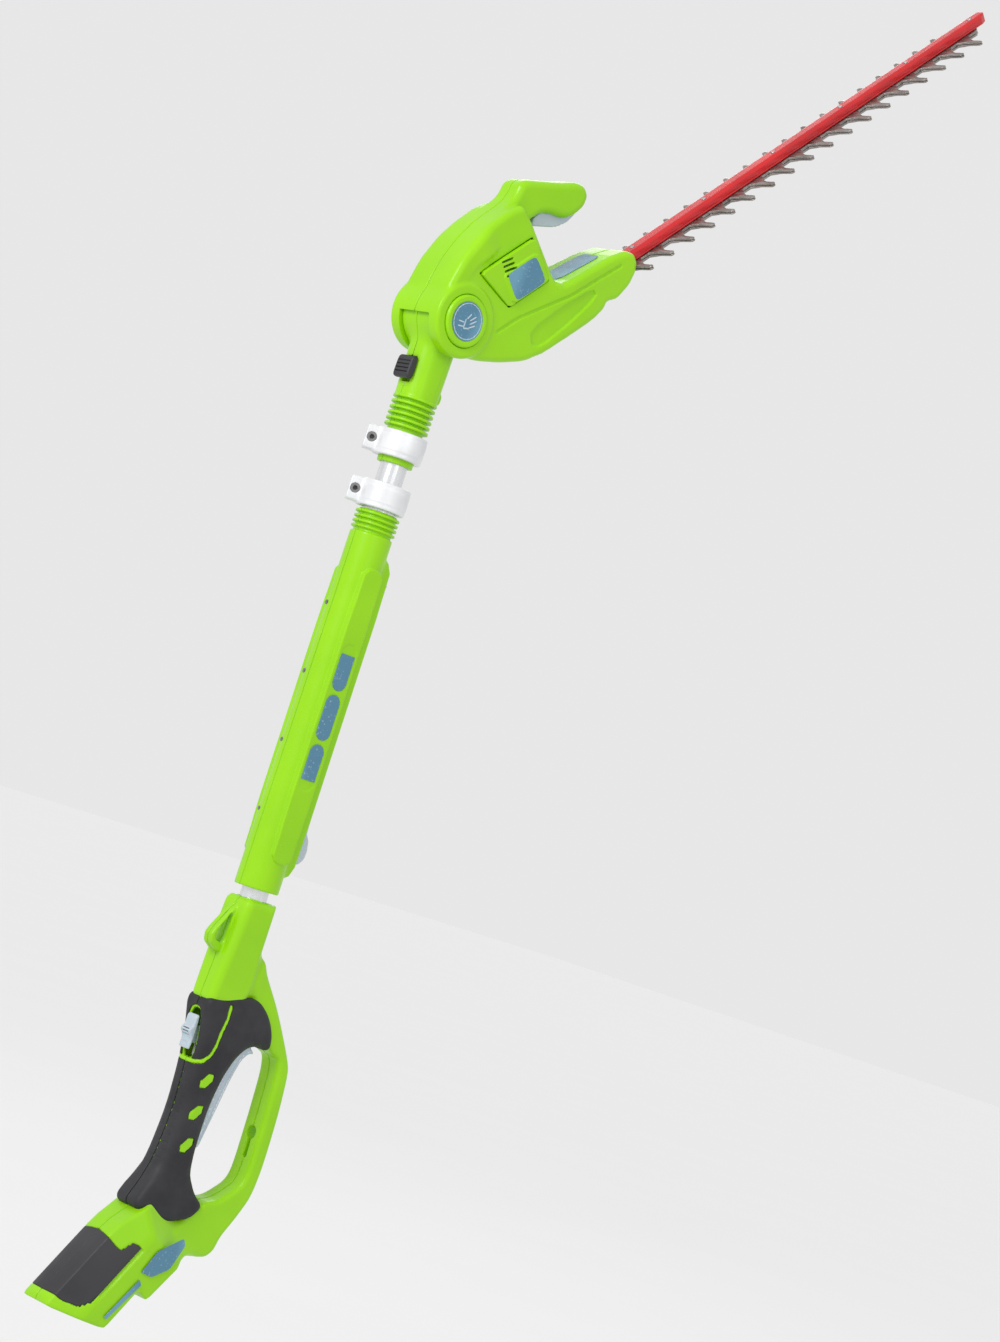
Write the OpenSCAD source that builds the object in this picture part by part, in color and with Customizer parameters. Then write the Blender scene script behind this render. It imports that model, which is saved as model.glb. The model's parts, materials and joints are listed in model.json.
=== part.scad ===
// Cordless pole hedge trimmer: D-handle, telescopic pole, tilting cutter head.
// Origin on the pole axis at the middle of the rear grip, +Z up the pole,
// +X to the front (guard bar and blade side), +Y to the user's left.

/* [Pole] */
// Outside radius of the two visible pole tubes
tube_r = 12.5; // [12.5:0.1:12.8]
// Height of the tilt pivot above the middle of the rear grip
pivot_z = 740; // [735:1:760]
// How far the pole telescopes out
pole_travel = 200; // [100:10:220]

/* [Head] */
// Forward tilt of the blade from the pole axis at rest
head_tilt = 42.8; // [30:0.1:60]
// Half width of the gearbox and motor housing
head_half = 31; // [30:0.5:33]
// Radius of the pivot drum at the back of the head
drum_r = 34; // [33:0.5:36]

/* [Blade] */
// Teeth along each side of a blade
tooth_count = 18; // [16:1:18]
// Distance from one tooth to the next
tooth_pitch = 28.7; // [28:0.1:29]
// Half of the blade width over the tooth tips
tooth_reach = 34; // [30:1:37]
// Offset of the crank eccentrics, half of the blade stroke
crank_throw = 7; // [5:0.5:7]

/* [Handle] */
// Half width of the rubber covered grip
grip_half = 16; // [15:0.5:17]
// Half width of the guard bar
guard_half = 14; // [13:0.5:15]
// Half width of the battery housing
housing_half = 32; // [30:0.5:34]
// Lean of the battery housing from the pole axis
housing_lean = 32; // [30:1:34]

/* [Hidden] */
$fn = 64;
run = 0.06;        // radial clearance of a running fit
wall = 3;          // wall of the moulded shells
lime = "#9be00f";
charcoal = "#26282b";
pale_grey = "#c3cdd6";
silver = "#c9cbcc";
red = "#c8171e";
steel = "#8d8a88";
blue = "#4c83a3";

outer_tube_r = 14.5;
outer_bore_r = tube_r + run;
sleeve_z0 = 205;
sleeve_z1 = 535;
sleeve_r = 20.5;
rib_z1 = 556;
lower_collar_z = 558;
upper_collar_z = 606;
collar_h = 24;
collar_r = 23;
collar_turn = -35;  // turn of the clamp lugs about the pole
neck_z0 = 600;
neck_core_r = 16.5;
hub_r = 30;
hub_half = 20;
bolt_r = 5;

housing_z = -120;  // height of the point that the battery housing leans about
blade_x = 60;      // distance of the blade plane from the pivot axis, head frame
blade_t = 2.4;     // thickness of one blade
crank_z = 116;     // crank axis above the pivot, head frame
gear_teeth = 48;
pinion_teeth = 12;
gear_module = 1;
motor_z = crank_z - gear_module * (gear_teeth + pinion_teeth) / 2;
first_tooth_z = 224;
bar_z0 = 168;
bar_z1 = 752;
bolt_zs = [for (i = [0:5]) 232 + i * 3.5 * tooth_pitch];
eccentric_r = 6.5;
trigger_pin_at = [36, 72];
lever_pin_at = [26.8, 496];
hook_pin_at = [-24.5, 173];
lock_pin_x = -16.3;
// places of case screws: X, Z and half the width of the case there
handle_screw_at = [[4, 113, 19], [86.8, 46, 14], [88, -64, 14], [62, -98, 14]];
head_screw_at = [[50, 52, 31], [40, 196, 31], [-52, 50, 31], [-56, 117, 14], [-35, 185, 14]];
sleeve_screw_zs = [for (z = [274:64:466]) z];

// Signed area of a closed outline, positive when it runs anticlockwise
function area(p) =
    let (n = len(p))
    [for (i = 0, s = 0; i <= n; s = s + (i < n ? p[i].x * p[(i + 1) % n].y - p[(i + 1) % n].x * p[i].y : 0),
        i = i + 1) s][n] / 2;
function unit(v) = v / norm(v);
// The outline moved inwards by d with mitred corners
function inset(p, d) =
    let (n = len(p), s = sign(area(p)))
    [for (i = [0:n - 1])
        let (a = unit(p[i] - p[(i + n - 1) % n]), b = unit(p[(i + 1) % n] - p[i]),
            na = s * [-a.y, a.x], nb = s * [-b.y, b.x], m = unit(na + nb))
        p[i] + m * d / (m * na)];
// Points of an arc about c from angle a0 to a1
function arc(c, r, a0, a1, steps) =
    [for (i = [0:steps]) c + r * [cos(a0 + (a1 - a0) * i / steps), sin(a0 + (a1 - a0) * i / steps)]];

// Outline in X and Z made solid between two values of Y
module slab(points, y0, y1) {
    translate([0, y1, 0]) rotate([90, 0, 0]) linear_extrude(height = y1 - y0) polygon(points);
}
// Outline in Y and Z made solid between two values of X
module sheet(points, x0, x1) {
    translate([x0, 0, 0]) rotate([90, 0, 90]) linear_extrude(height = x1 - x0) polygon(points);
}
module y_rod(x, z, r, y0, y1) {
    translate([x, y1, z]) rotate([90, 0, 0]) cylinder(r = r, h = y1 - y0);
}
module x_rod(y, z, r, x0, x1) {
    translate([x0, y, z]) rotate([0, 90, 0]) cylinder(r = r, h = x1 - x0);
}
module z_rod(x, y, r, z0, z1) {
    translate([x, y, z0]) cylinder(r = r, h = z1 - z0);
}
module block(low, high) {
    translate(low) cube(high - low);
}
// One half of a clamshell: side +1 keeps the left, -1 the right
module half(side) {
    intersection() {
        children();
        translate([-200, side > 0 ? 0 : -100, -300]) cube([400, 100, 1900]);
    }
}
// Case screw with its head on the left, the hole for it and the post round it
module screw(p) {
    y_rod(p.x, p.y, 2, -6, p.z - 3);
    y_rod(p.x, p.y, 3.4, p.z - 3.5, p.z - 1);
}
module screw_hole(p) {
    y_rod(p.x, p.y, 2, -6, p.z - 3);
    y_rod(p.x, p.y, 3.6, p.z - 3.5, p.z + 6);
}
module screw_post(p) {
    y_rod(p.x, p.y, 5, -p.z + 1, p.z - 1);
}
module in_head() {
    translate([0, 0, pivot_z]) rotate([0, head_tilt, 0]) children();
}
module in_housing() {
    translate([0, 0, housing_z]) rotate([0, housing_lean, 0]) children();
}

// ---------------------------------------------------------------- handle
grip_side = [[-36, -92], [-24, -67], [-17, -44], [-13.5, 0], [-16, 40], [-21, 70], [-24, 98], [-17, 121],
    [13, 121], [22, 138], [31, 131], [42, 118], [62, 80], [57, 70.5], [47, 71], [38, 66], [30, 56],
    [23, 38], [18, 10], [18, -28], [21, -50], [30, -66], [43, -78], [39, -93]];
guard_side = [[24, 147], [35, 134], [59, 107], [86, 70], [93, 57], [97, 20], [99, -31], [96, -60], [86, -82],
    [76, -100], [73, -114], [64, -122], [20, -122], [20, -100], [44, -73], [60, -69], [79, -53], [83, -40],
    [82, 10], [80, 50], [76, 65], [66, 69], [46, 84], [22, 120]];
housing_side = [[-30, 40], [-45, -16], [-47, -100], [-44, -107], [8, -84], [15, -80], [15, -42], [28, -42],
    [28, 8], [40, 34], [20, 62], [-16, 62]];

module handle_body(g) {
    intersection() {
        z_rod(2, 0, 20.5 - g, 100 + g, 196);
        slab(inset([[-24, 90], [-24, 196], [24, 196], [24, 90]], g), -19 + g, 19 - g);
    }
    slab(inset(grip_side, g), -grip_half + g, grip_half - g);
    slab(inset(guard_side, g), -guard_half + g, guard_half - g);
    in_housing() slab(inset(housing_side, g), -housing_half + g, housing_half - g);
}
module strap_loop() {
    difference() {
        slab([[-16, 192], [-37, 158], [-35, 149], [-26, 143], [-16, 142]], -6, 6);
        slab([[-19.5, 182], [-31, 160], [-29.5, 154], [-19.5, 152]], -7, 7);
    }
}
module keyhole() {
    x_rod(0, -4, 6, 70, 110);
    block([70, -2, -28], [110, 2, -4]);
}
module handle_shell() {
    difference() {
        union() {
            // shell, left solid round the hanging keyhole
            difference() {
                handle_body(0);
                difference() {
                    handle_body(wall);
                    block([70, -20, -38], [110, 20, 14]);
                }
            }
            // webs that hold the tube in the neck
            for (z = [128, 158, 188]) z_rod(2, 0, 18.5, z, z + 6);
            strap_loop();
            for (p = handle_screw_at) screw_post(p);
            // bosses of the trigger pin
            y_rod(trigger_pin_at.x, trigger_pin_at.y, 4.5, -15, -8.6);
            y_rod(trigger_pin_at.x, trigger_pin_at.y, 4.5, 11.6, 15);
        }
        for (p = handle_screw_at) screw_hole(p);
        keyhole();
        // seat of the lower tube
        z_rod(0, 0, tube_r, 126, 200);
        // slot of the trigger in the front of the grip
        slab([[12, -34], [30, -34], [34, 30], [52, 62], [52, 80], [20, 80], [12, 40]], -8.2, 8.2);
        y_rod(trigger_pin_at.x, trigger_pin_at.y, 2, -12.5, 12.5);
        // slot of the lock-out slider in the back of the grip
        block([-32, -7.6, 46], [-10, 7.6, 92]);
        // battery terminals look out of the step in the housing
        in_housing() block([10, -20, -60], [26.5, 20, -37.5]);
    }
}
module handle_left() {
    color(lime) half(1) handle_shell();
}
module handle_right() {
    color(lime) half(-1) handle_shell();
}
grip_cover = [[-33, -86], [-24, -67], [-17, -44], [-13.5, 0], [-16, 40], [-21, 70], [-24, 98], [-21, 106],
    [24, 104], [37, 104], [46, 97], [58, 80], [64, 74], [62, 67], [47, 71], [38, 66], [30, 56], [23, 38],
    [18, 10], [18, -28], [21, -50], [30, -66], [44, -76], [30, -90], [0, -96]];
module grip_skin() {
    difference() {
        slab(inset(grip_cover, -1.5), -grip_half - 1.6, grip_half + 1.6);
        handle_body(0);
        slab([[12, -35], [30, -35], [34, 30], [52, 62], [53, 80], [20, 80], [12, 40]], -8.6, 8.6);
        block([-34, -9, 42], [-10, 9, 94]);
    }
}
module grip_left() {
    color(charcoal) half(1) grip_skin();
}
module grip_right() {
    color(charcoal) half(-1) grip_skin();
}
module battery_panel() {
    color(charcoal) in_housing()
        slab([[-47.2, -24], [-48.9, -94], [-46.86, -94], [-45.19, -24]], -26, 26);
}
module battery_rails() {
    color(lime) in_housing() for (side = [-1, 1]) mirror([0, side > 0 ? 0 : 1, 0]) {
        block([15, 22, -79], [24, 27, -43]);
        block([21, 19, -79], [24, 22.5, -43]);
    }
}
module terminal_block() {
    color(charcoal) in_housing() block([11, -18.8, -59], [26.5, 18.8, -42]);
}
module battery_contacts() {
    color(silver) in_housing() for (y = [-12, 0, 12])
        block([18, y - 0.5, -64], [24, y + 0.5, -59]);
}
module housing_labels() {
    color(blue) in_housing() {
        slab([[-8, -74], [8, -74], [12, -20], [-4, -20]], -housing_half - 0.4, -housing_half);
        slab([[-8, -74], [8, -74], [12, -20], [-4, -20]], housing_half, housing_half + 0.4);
    }
}

// ------------------------------------------------- trigger and lock-out
trigger_side = [[45, 70], [52, 64], [46, 63], [40, 56], [35, 38], [30.5, 12], [26, -12], [23.5, -27], [18.6, -30],
    [17, -26], [18.5, 12], [21, 36], [27, 58], [32, 70], [33, 77], [39, 77]];
module trigger() {
    color(pale_grey) difference() {
        slab(trigger_side, -7.8, 7.8);
        y_rod(trigger_pin_at.x, trigger_pin_at.y, 2 + run, -9, 9);
    }
}
module trigger_pin() {
    color(silver) y_rod(trigger_pin_at.x, trigger_pin_at.y, 2, -12.5, 12.5);
}
module trigger_spring() {
    color(silver) difference() {
        y_rod(trigger_pin_at.x, trigger_pin_at.y, 3, 8.6, 11.4);
        y_rod(trigger_pin_at.x, trigger_pin_at.y, 2.2, 8, 12);
    }
}
module trigger_switch() {
    color(charcoal) {
        block([-6, -6, 8], [8, 6, 30]);
        block([8, -2, 17], [10, 2, 21]);
    }
}
module lockout_slider() {
    color(pale_grey) {
        slab([[-26.5, 54], [-25.4, 64], [-27.5, 67], [-30, 70], [-27, 74], [-26.5, 84], [-24, 85],
            [-22.4, 54]], -7.2, 7.2);
        block([-24, -4, 60], [-7, 4, 76]);
    }
}
module lockout_spring() {
    color(silver) difference() {
        z_rod(-9, 0, 2.4, 50, 59.4);
        z_rod(-9, 0, 1.6, 49, 60);
    }
}
module handle_screws() {
    color(charcoal) for (p = handle_screw_at) screw(p);
}

// ------------------------------------------------------------ lower pole
module lower_tube() {
    color(silver) difference() {
        z_rod(0, 0, tube_r, 126, 275);
        z_rod(0, 0, tube_r - 1.5, 125, 276);
    }
}
module outer_tube() {
    color(silver) difference() {
        z_rod(0, 0, outer_tube_r, 209, 582);
        z_rod(0, 0, outer_bore_r, 208, 583);
    }
}
module sleeve_shell() {
    difference() {
        union() {
            z_rod(0, 0, sleeve_r, sleeve_z0, sleeve_z1);
            z_rod(0, 0, 17.5, sleeve_z1 - 1, rib_z1);
            for (i = [0:3]) z_rod(0, 0, 20.5, sleeve_z1 + 3 + i * 4.6, sleeve_z1 + 5.4 + i * 4.6);
            // ridge down the front that houses the long lever
            slab([[10, 225], [10, 515], [24, 515], [29.5, 505], [29.5, 235], [24, 225]], -9, 9);
            // flat pads that carry the picture labels
            block([-11, -21.6, 232], [11, 21.6, 505]);
        }
        // hollow between the rings that hold the outer tube
        for (z = [212:64:468]) z_rod(0, 0, sleeve_r - wall, z, z + 60);
        z_rod(0, 0, outer_tube_r, 209, rib_z1 + 1);
        z_rod(0, 0, tube_r, sleeve_z0 - 1, 210);
        block([16.2, -6.3, 232], [32, 6.3, 504]);
        y_rod(lever_pin_at.x, lever_pin_at.y, 1.5, -8.6, 8.6);
        for (z = sleeve_screw_zs) {
            y_rod(-17.2, z, 1.3, -6, 6);
            y_rod(-17.2, z, 2.4, 6, 16);
        }
    }
}
module sleeve_left() {
    color(lime) half(1) sleeve_shell();
}
module sleeve_right() {
    color(lime) half(-1) sleeve_shell();
}
module sleeve_labels() {
    color(blue) for (side = [-1, 1]) for (i = [-1:1])
        slab(concat(arc([0, 368 + i * 46 + 13], 8, 0, 180, 16), arc([0, 368 + i * 46 - 13], 8, 180, 360, 16)),
            side > 0 ? 21.6 : -22, side > 0 ? 22 : -21.6);
}
module sleeve_lever() {
    color(pale_grey) difference() {
        union() {
            slab([[25, 236], [25, 500], [31.5, 502], [31.5, 264], [37, 258], [39, 250], [38, 242],
                [32, 236]], -5.8, 5.8);
            block([22.5, -4, 480], [27, 4, 501]);
        }
        y_rod(lever_pin_at.x, lever_pin_at.y, 1.5 + run, -10, 10);
    }
}
module sleeve_lever_pin() {
    color(silver) y_rod(lever_pin_at.x, lever_pin_at.y, 1.5, -8.6, 8.6);
}
module sleeve_switch() {
    color(charcoal) block([16.4, -5, 300], [20.4, 5, 322]);
}
module collar(z0, bore) {
    difference() {
        union() {
            z_rod(0, 0, collar_r, z0, z0 + collar_h);
            block([-33, -9, z0 + 1], [-14, 9, z0 + collar_h - 1]);
        }
        z_rod(0, 0, bore, z0 - 1, z0 + collar_h + 1);
        block([-40, -0.8, z0 - 1], [-10, 0.8, z0 + collar_h + 1]);
        y_rod(-27.5, z0 + collar_h / 2, 2.5, -10, 10);
        y_rod(-27.5, z0 + collar_h / 2, 4.4, -10, -5);
    }
}
module collar_screw(z0) {
    difference() {
        union() {
            y_rod(-27.5, z0 + collar_h / 2, 2.5, -6, 9);
            y_rod(-27.5, z0 + collar_h / 2, 4.3, -8.6, -5);
        }
        translate([-27.5, -8.7, z0 + collar_h / 2]) rotate([-90, 0, 0]) cylinder(r = 2.3, h = 2.4, $fn = 6);
    }
}
module lower_collar() {
    color(silver) rotate([0, 0, collar_turn]) collar(lower_collar_z, outer_tube_r);
}
module lower_collar_screw() {
    color(charcoal) rotate([0, 0, collar_turn]) collar_screw(lower_collar_z);
}
module sleeve_screws() {
    color(charcoal) for (z = sleeve_screw_zs) {
        y_rod(-17.2, z, 1.3, -6, 6.1);
        y_rod(-17.2, z, 2.3, 6, 9.4);
    }
}
module coil_cable() {
    color(charcoal) difference() {
        z_rod(0, 0, 8, 150, 640);
        z_rod(0, 0, 4, 149, 641);
    }
}

// ------------------------------------------------------- upper pole, neck
module upper_tube() {
    color(silver) difference() {
        z_rod(0, 0, tube_r, 485 - pole_travel, 690);
        z_rod(0, 0, tube_r - 1.5, 484 - pole_travel, 691);
    }
}
module neck_shell() {
    difference() {
        union() {
            z_rod(0, 0, neck_core_r, neck_z0, 672);
            for (i = [0:5]) z_rod(0, 0, 20.5, 634 + i * 5.2, 636.6 + i * 5.2);
            z_rod(0, 0, 19.5, 662, 722);
            y_rod(0, pivot_z, hub_r, -hub_half, hub_half);
            block([14, -9, 664], [22.5, 9, 676]);
        }
        z_rod(0, 0, tube_r, neck_z0 - 1, 690);
        y_rod(0, pivot_z, bolt_r + run, -hub_half - 1, hub_half + 1);
        // room for the ratchet wheel, the lock pin and the button
        y_rod(0, pivot_z, 22.5, -3.2, 3.2);
        z_rod(lock_pin_x, 0, 2.4, 684, 732);
        block([-18.5, -5.3, 665], [-13.2, 5.3, 698]);
        block([-30, -10.9, 670.2], [-18.4, 10.9, 698]);
    }
}
module neck_left() {
    color(lime) half(1) neck_shell();
}
module neck_right() {
    color(lime) half(-1) neck_shell();
}
module upper_collar() {
    color(silver) rotate([0, 0, collar_turn]) collar(upper_collar_z, neck_core_r);
}
module upper_collar_screw() {
    color(charcoal) rotate([0, 0, collar_turn]) collar_screw(upper_collar_z);
}
module tilt_button() {
    color(charcoal) difference() {
        union() {
            slab([[-19, 676], [-25.5, 676], [-27, 679], [-26.4, 694], [-24, 697], [-19, 697]], -10.4, 10.4);
            block([-19.2, -4.8, 680], [-13.7, 4.8, 696]);
        }
        z_rod(lock_pin_x, 0, 1.8, 686, 700);
    }
}
module tilt_lock_pin() {
    color(steel) z_rod(lock_pin_x, 0, 1.8, 686, 723.4);
}
module tilt_spring() {
    color(silver) difference() {
        z_rod(-16, 0, 1.9, 667, 674);
        z_rod(-16, 0, 1.2, 666, 675);
    }
}

// -------------------------------------------------------------- cutter head
head_side = concat(
    arc([0, 0], drum_r - 2.5, 232, 322, 8),
    [[42, 2], [56, 25], [68, 50], [73, 74], [73.5, 140], [70, 158], [66.6, 164], [71, 176], [67, 196],
    [60, 208], [52, 214], [42, 214], [37, 205], [31, 186], [25, 112], [-36, 111], [-62, 108],
    [-63, 90], [-62, 66], [-57, 42], [-49, 20], [-38, 0], [-28, -12]]);
hook_side = [[-62, 98], [-69, 114], [-74, 121], [-73, 130], [-68, 139], [-52, 167], [-41, 188], [-34, 194],
    [-27, 191], [-22, 180], [-21, 168], [-25, 156], [-34, 144], [-38, 134], [-38, 122], [-34, 111],
    [-40, 98]];
module head_body(g) {
    slab(inset(head_side, g), -head_half + g, head_half - g);
    y_rod(0, 0, drum_r - g, -33 + g, 33 - g);
    slab(inset(hook_side, g), -guard_half + g, guard_half - g);
}
// The gap between the cheeks in which the neck swings
module fork_gap(g) {
    y_rod(0, 0, hub_r + 1 + g, -hub_half - 0.4 - g, hub_half + 0.4 + g);
    block([-21 - g, -hub_half - 0.4 - g, -60], [21, hub_half + 0.4 + g, 0]);
    block([0, -hub_half - 0.4 - g, -60], [120, hub_half + 0.4 + g, 21 + g]);
}
module head_shell() {
    difference() {
        union() {
            difference() {
                head_body(0);
                head_body(wall);
            }
            intersection() {
                head_body(0);
                fork_gap(wall);
            }
            intersection() {
                head_body(0);
                y_rod(0, 0, drum_r, -33, 33);
            }
            // floor of the motor bay with the seat of the axle, and the bearing web
            block([28.5, -head_half + 2, 60], [32, head_half - 2, 146]);
            block([44, -head_half + 2, 96], [49, head_half - 2, 138]);
            intersection() {
                head_body(0);
                for (p = head_screw_at) screw_post(p);
            }
        }
        for (p = head_screw_at) screw_hole(p);
        x_rod(0, crank_z, 3, 29.5, 33);
        x_rod(0, crank_z, 14, 43, 50);
        fork_gap(0);
        y_rod(0, 0, bolt_r, -40, 40);
        y_rod(0, 0, 24, 30, 40);
        y_rod(0, 0, 24, -40, -30);
        // mouth for the blade, open below for the base plate
        block([46.5, -10.4, 160], [60, 10.4, 220]);
        block([56.2, -28, 60], [80, 28, 220]);
        // motor cover windows
        for (s = [-1, 1]) slab([[-30, 34], [14, 52], [14, 104], [-30, 104]], s > 0 ? 20 : -40, s > 0 ? 40 : -20);
        // shaft passage and lever recess
        x_rod(0, motor_z, 7.4, 20, 34);
        slab([[-44, 124], [-43, 134], [-34, 162], [-31, 178], [-10, 182], [-10, 150], [-26, 112]], -8.4, 8.4);
        y_rod(hook_pin_at.x, hook_pin_at.y, 1.5, -10, 10);
    }
}
module head_left() {
    color(lime) in_head() half_head(1) head_shell();
}
module head_right() {
    color(lime) in_head() half_head(-1) head_shell();
}
module half_head(side) {
    intersection() {
        children();
        translate([-150, side > 0 ? 0 : -100, -100]) cube([300, 100, 400]);
    }
}
module motor_cover(s) {
    color(lime) in_head() difference() {
        slab([[-29.7, 34.4], [13.7, 52.2], [13.7, 103.7], [-29.7, 103.7]], s > 0 ? 26 : -33, s > 0 ? 33 : -26);
        for (i = [0:3]) slab([[-26, 62 + i * 7], [-10, 62 + i * 7], [-10, 64.4 + i * 7], [-26, 64.4 + i * 7]],
            s > 0 ? 20 : -40, s > 0 ? 40 : -20);
    }
}
module motor_cover_left() {
    motor_cover(1);
}
module motor_cover_right() {
    motor_cover(-1);
}
module pivot_cap(s) {
    color(lime) in_head() {
        y_rod(0, 0, 23.8, s > 0 ? 30 : -35.5, s > 0 ? 35.5 : -30);
    }
}
module pivot_cap_left() {
    pivot_cap(1);
}
module pivot_cap_right() {
    pivot_cap(-1);
}
module pivot_bolt() {
    color(steel) in_head() y_rod(0, 0, bolt_r, -29.5, 29.5);
}
module ratchet_wheel() {
    color(steel) in_head() difference() {
        y_rod(0, 0, 21, -2.6, 2.6);
        y_rod(0, 0, bolt_r, -5, 5);
        // one notch for each of the seven tilt positions
        for (i = [0:6]) rotate([0, -head_tilt / 3 * i, 0]) y_rod(-17, -13.8, 2.2, -4, 4);
    }
}
module motor_can() {
    color(steel) in_head() difference() {
        x_rod(0, motor_z, 21, -50, 20);
        x_rod(0, motor_z, 18.5, -47, 17);
        x_rod(0, motor_z, 2.5 + run, -60, 30);
    }
}
module motor_rotor() {
    color(silver) in_head() {
        x_rod(0, motor_z, 2.5, -52, 39);
        x_rod(0, motor_z, 15, -42, 8);
        translate([32.6, 0, motor_z]) rotate([0, 90, 0]) spur_gear(pinion_teeth, 6);
        x_rod(0, motor_z, 6.9, 20.6, 23.4);
    }
}
// Straight toothed wheel with simple trapezoid teeth, one tooth on its own +X axis
module spur_gear(teeth, thick) {
    root = gear_module * teeth / 2 - 1.15;
    tip = gear_module * teeth / 2 + 0.75;
    pitch = 360 / teeth;
    linear_extrude(height = thick) polygon([for (i = [0:teeth - 1]) each [
        root * [cos((i - 0.3) * pitch), sin((i - 0.3) * pitch)],
        tip * [cos((i - 0.11) * pitch), sin((i - 0.11) * pitch)],
        tip * [cos((i + 0.11) * pitch), sin((i + 0.11) * pitch)],
        root * [cos((i + 0.3) * pitch), sin((i + 0.3) * pitch)]]]);
}
module crank_gear() {
    color(steel) in_head() difference() {
        union() {
            translate([33, 0, crank_z]) rotate([0, 90, 0]) rotate([0, 0, 180 / gear_teeth])
                spur_gear(gear_teeth, 5);
            x_rod(0, crank_z, 10, 38, 50);
            x_rod(0, crank_z, 5, 50, 63);
            x_rod(crank_throw, crank_z, eccentric_r, 50, 59.6);
            x_rod(-crank_throw, crank_z, eccentric_r, 59.6, 63);
        }
        x_rod(0, crank_z, 3 + run, 30, 66);
    }
}
module gear_axle() {
    color(silver) in_head() x_rod(0, crank_z, 3, 29.5, 66);
}
module gear_bearing() {
    color(silver) in_head() difference() {
        x_rod(0, crank_z, 14, 44, 49);
        x_rod(0, crank_z, 10 + run, 43, 50);
    }
}
function tooth(i, s) =
    let (z = first_tooth_z + i * tooth_pitch)
    [[s * 9.5, z - 14], [s * 15, z - 12.4], [s * 22, z - 8], [s * (tooth_reach - 0.8), z - 3.4],
    [s * tooth_reach, z - 0.6], [s * (tooth_reach - 2), z + 1.8], [s * 24, z - 1.2], [s * 19, z + 0.4],
    [s * 13, z + 6], [s * 9.5, z + 7.4]];
module blade(x0) {
    tail = crank_z - 27;
    end = first_tooth_z + (tooth_count - 1) * tooth_pitch + 18;
    right = [for (i = [0:tooth_count - 1]) each tooth(i, 1)];
    left = [for (i = [tooth_count - 1:-1:0]) each [for (k = [9:-1:0]) tooth(i, -1)[k]]];
    difference() {
        sheet(concat([[-21, tail], [21, tail], [21, tail + 54], [9.5, tail + 66]], right,
            [[9.5, end], [5, end + 7], [-5, end + 7], [-9.5, end]], left,
            [[-9.5, tail + 66], [-21, tail + 54]]), x0, x0 + blade_t);
        for (z = bolt_zs) sheet(concat(arc([0, z + 8], 2.8, 0, 180, 10), arc([0, z - 8], 2.8, 180, 360, 10)),
            x0 - 1, x0 + blade_t + 1);
        // yoke window, long enough for the eccentric at any place of the stroke
        block([x0 - 1, -14, crank_z - 21], [x0 + blade_t + 1, 14, crank_z + 21]);
    }
}
module upper_blade() {
    color(steel) in_head() blade(blade_x - 2.8);
}
module lower_blade() {
    color(steel) in_head() blade(blade_x);
}
module blade_bar() {
    color(red) in_head() difference() {
        sheet([[-9, bar_z0], [9, bar_z0], [6.8, bar_z1 - 8], [4, bar_z1], [-4, bar_z1],
            [-6.8, bar_z1 - 8]], 47, 56.8);
        sheet([[-6.8, bar_z0 - 1], [6.8, bar_z0 - 1], [4.6, bar_z1 - 14], [-4.6, bar_z1 - 14]], 49, 53);
        for (z = bolt_zs) x_rod(0, z, 2.5, 40, 60);
    }
}
module blade_bolts() {
    color(steel) in_head() for (z = bolt_zs) {
        x_rod(0, z, 2.5, 46.5, 65.6);
        translate([62.9, 0, z]) rotate([0, 90, 0]) cylinder(r = 4.8, h = 2.6, $fn = 6);
    }
}
module gearbox_plate() {
    color(lime) in_head() difference() {
        slab([[64.2, 62], [70, 62], [73, 74], [73.5, 140], [70, 158], [64.2, 160]], -27.6, 27.6);
        x_rod(0, crank_z, 3, 60, 66);
    }
}
module deck_label() {
    color(blue) in_head() translate([28.243, 0, 152]) rotate([0, 4.635, 0])
        block([-0.5, -13, -26], [0, 13, 32]);
}
module hook_lever() {
    color(pale_grey) in_head() difference() {
        slab([[-31, 121], [-16, 148], [-14, 162], [-16.5, 174], [-22, 178], [-27, 176], [-27.4, 166],
            [-30, 154], [-38, 138], [-37, 128]], -7.8, 7.8);
        y_rod(hook_pin_at.x, hook_pin_at.y, 1.5 + run, -10, 10);
    }
}
module hook_lever_pin() {
    color(silver) in_head() y_rod(hook_pin_at.x, hook_pin_at.y, 1.5, -10, 10);
}
module hook_switch() {
    color(charcoal) in_head() block([-54, -6, 126], [-46, 6, 140]);
}
module head_screws() {
    color(charcoal) in_head() for (p = head_screw_at) screw(p);
}

handle_left();
handle_right();
grip_left();
grip_right();
battery_panel();
battery_rails();
terminal_block();
battery_contacts();
housing_labels();
trigger();
trigger_pin();
trigger_spring();
trigger_switch();
lockout_slider();
lockout_spring();
lower_tube();
outer_tube();
sleeve_left();
sleeve_right();
sleeve_labels();
sleeve_lever();
sleeve_lever_pin();
sleeve_switch();
lower_collar();
lower_collar_screw();
handle_screws();
sleeve_screws();
coil_cable();
upper_tube();
neck_left();
neck_right();
upper_collar();
upper_collar_screw();
tilt_button();
tilt_lock_pin();
tilt_spring();
pivot_bolt();
ratchet_wheel();
pivot_cap_left();
pivot_cap_right();
head_left();
head_right();
motor_cover_left();
motor_cover_right();
motor_can();
motor_rotor();
gear_axle();
gear_bearing();
crank_gear();
blade_bar();
upper_blade();
lower_blade();
blade_bolts();
gearbox_plate();
deck_label();
hook_lever();
hook_lever_pin();
hook_switch();
head_screws();
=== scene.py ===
import json
import math

import bmesh
import bpy
import numpy as np
import openvdb
from mathutils import Matrix, Vector


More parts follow.
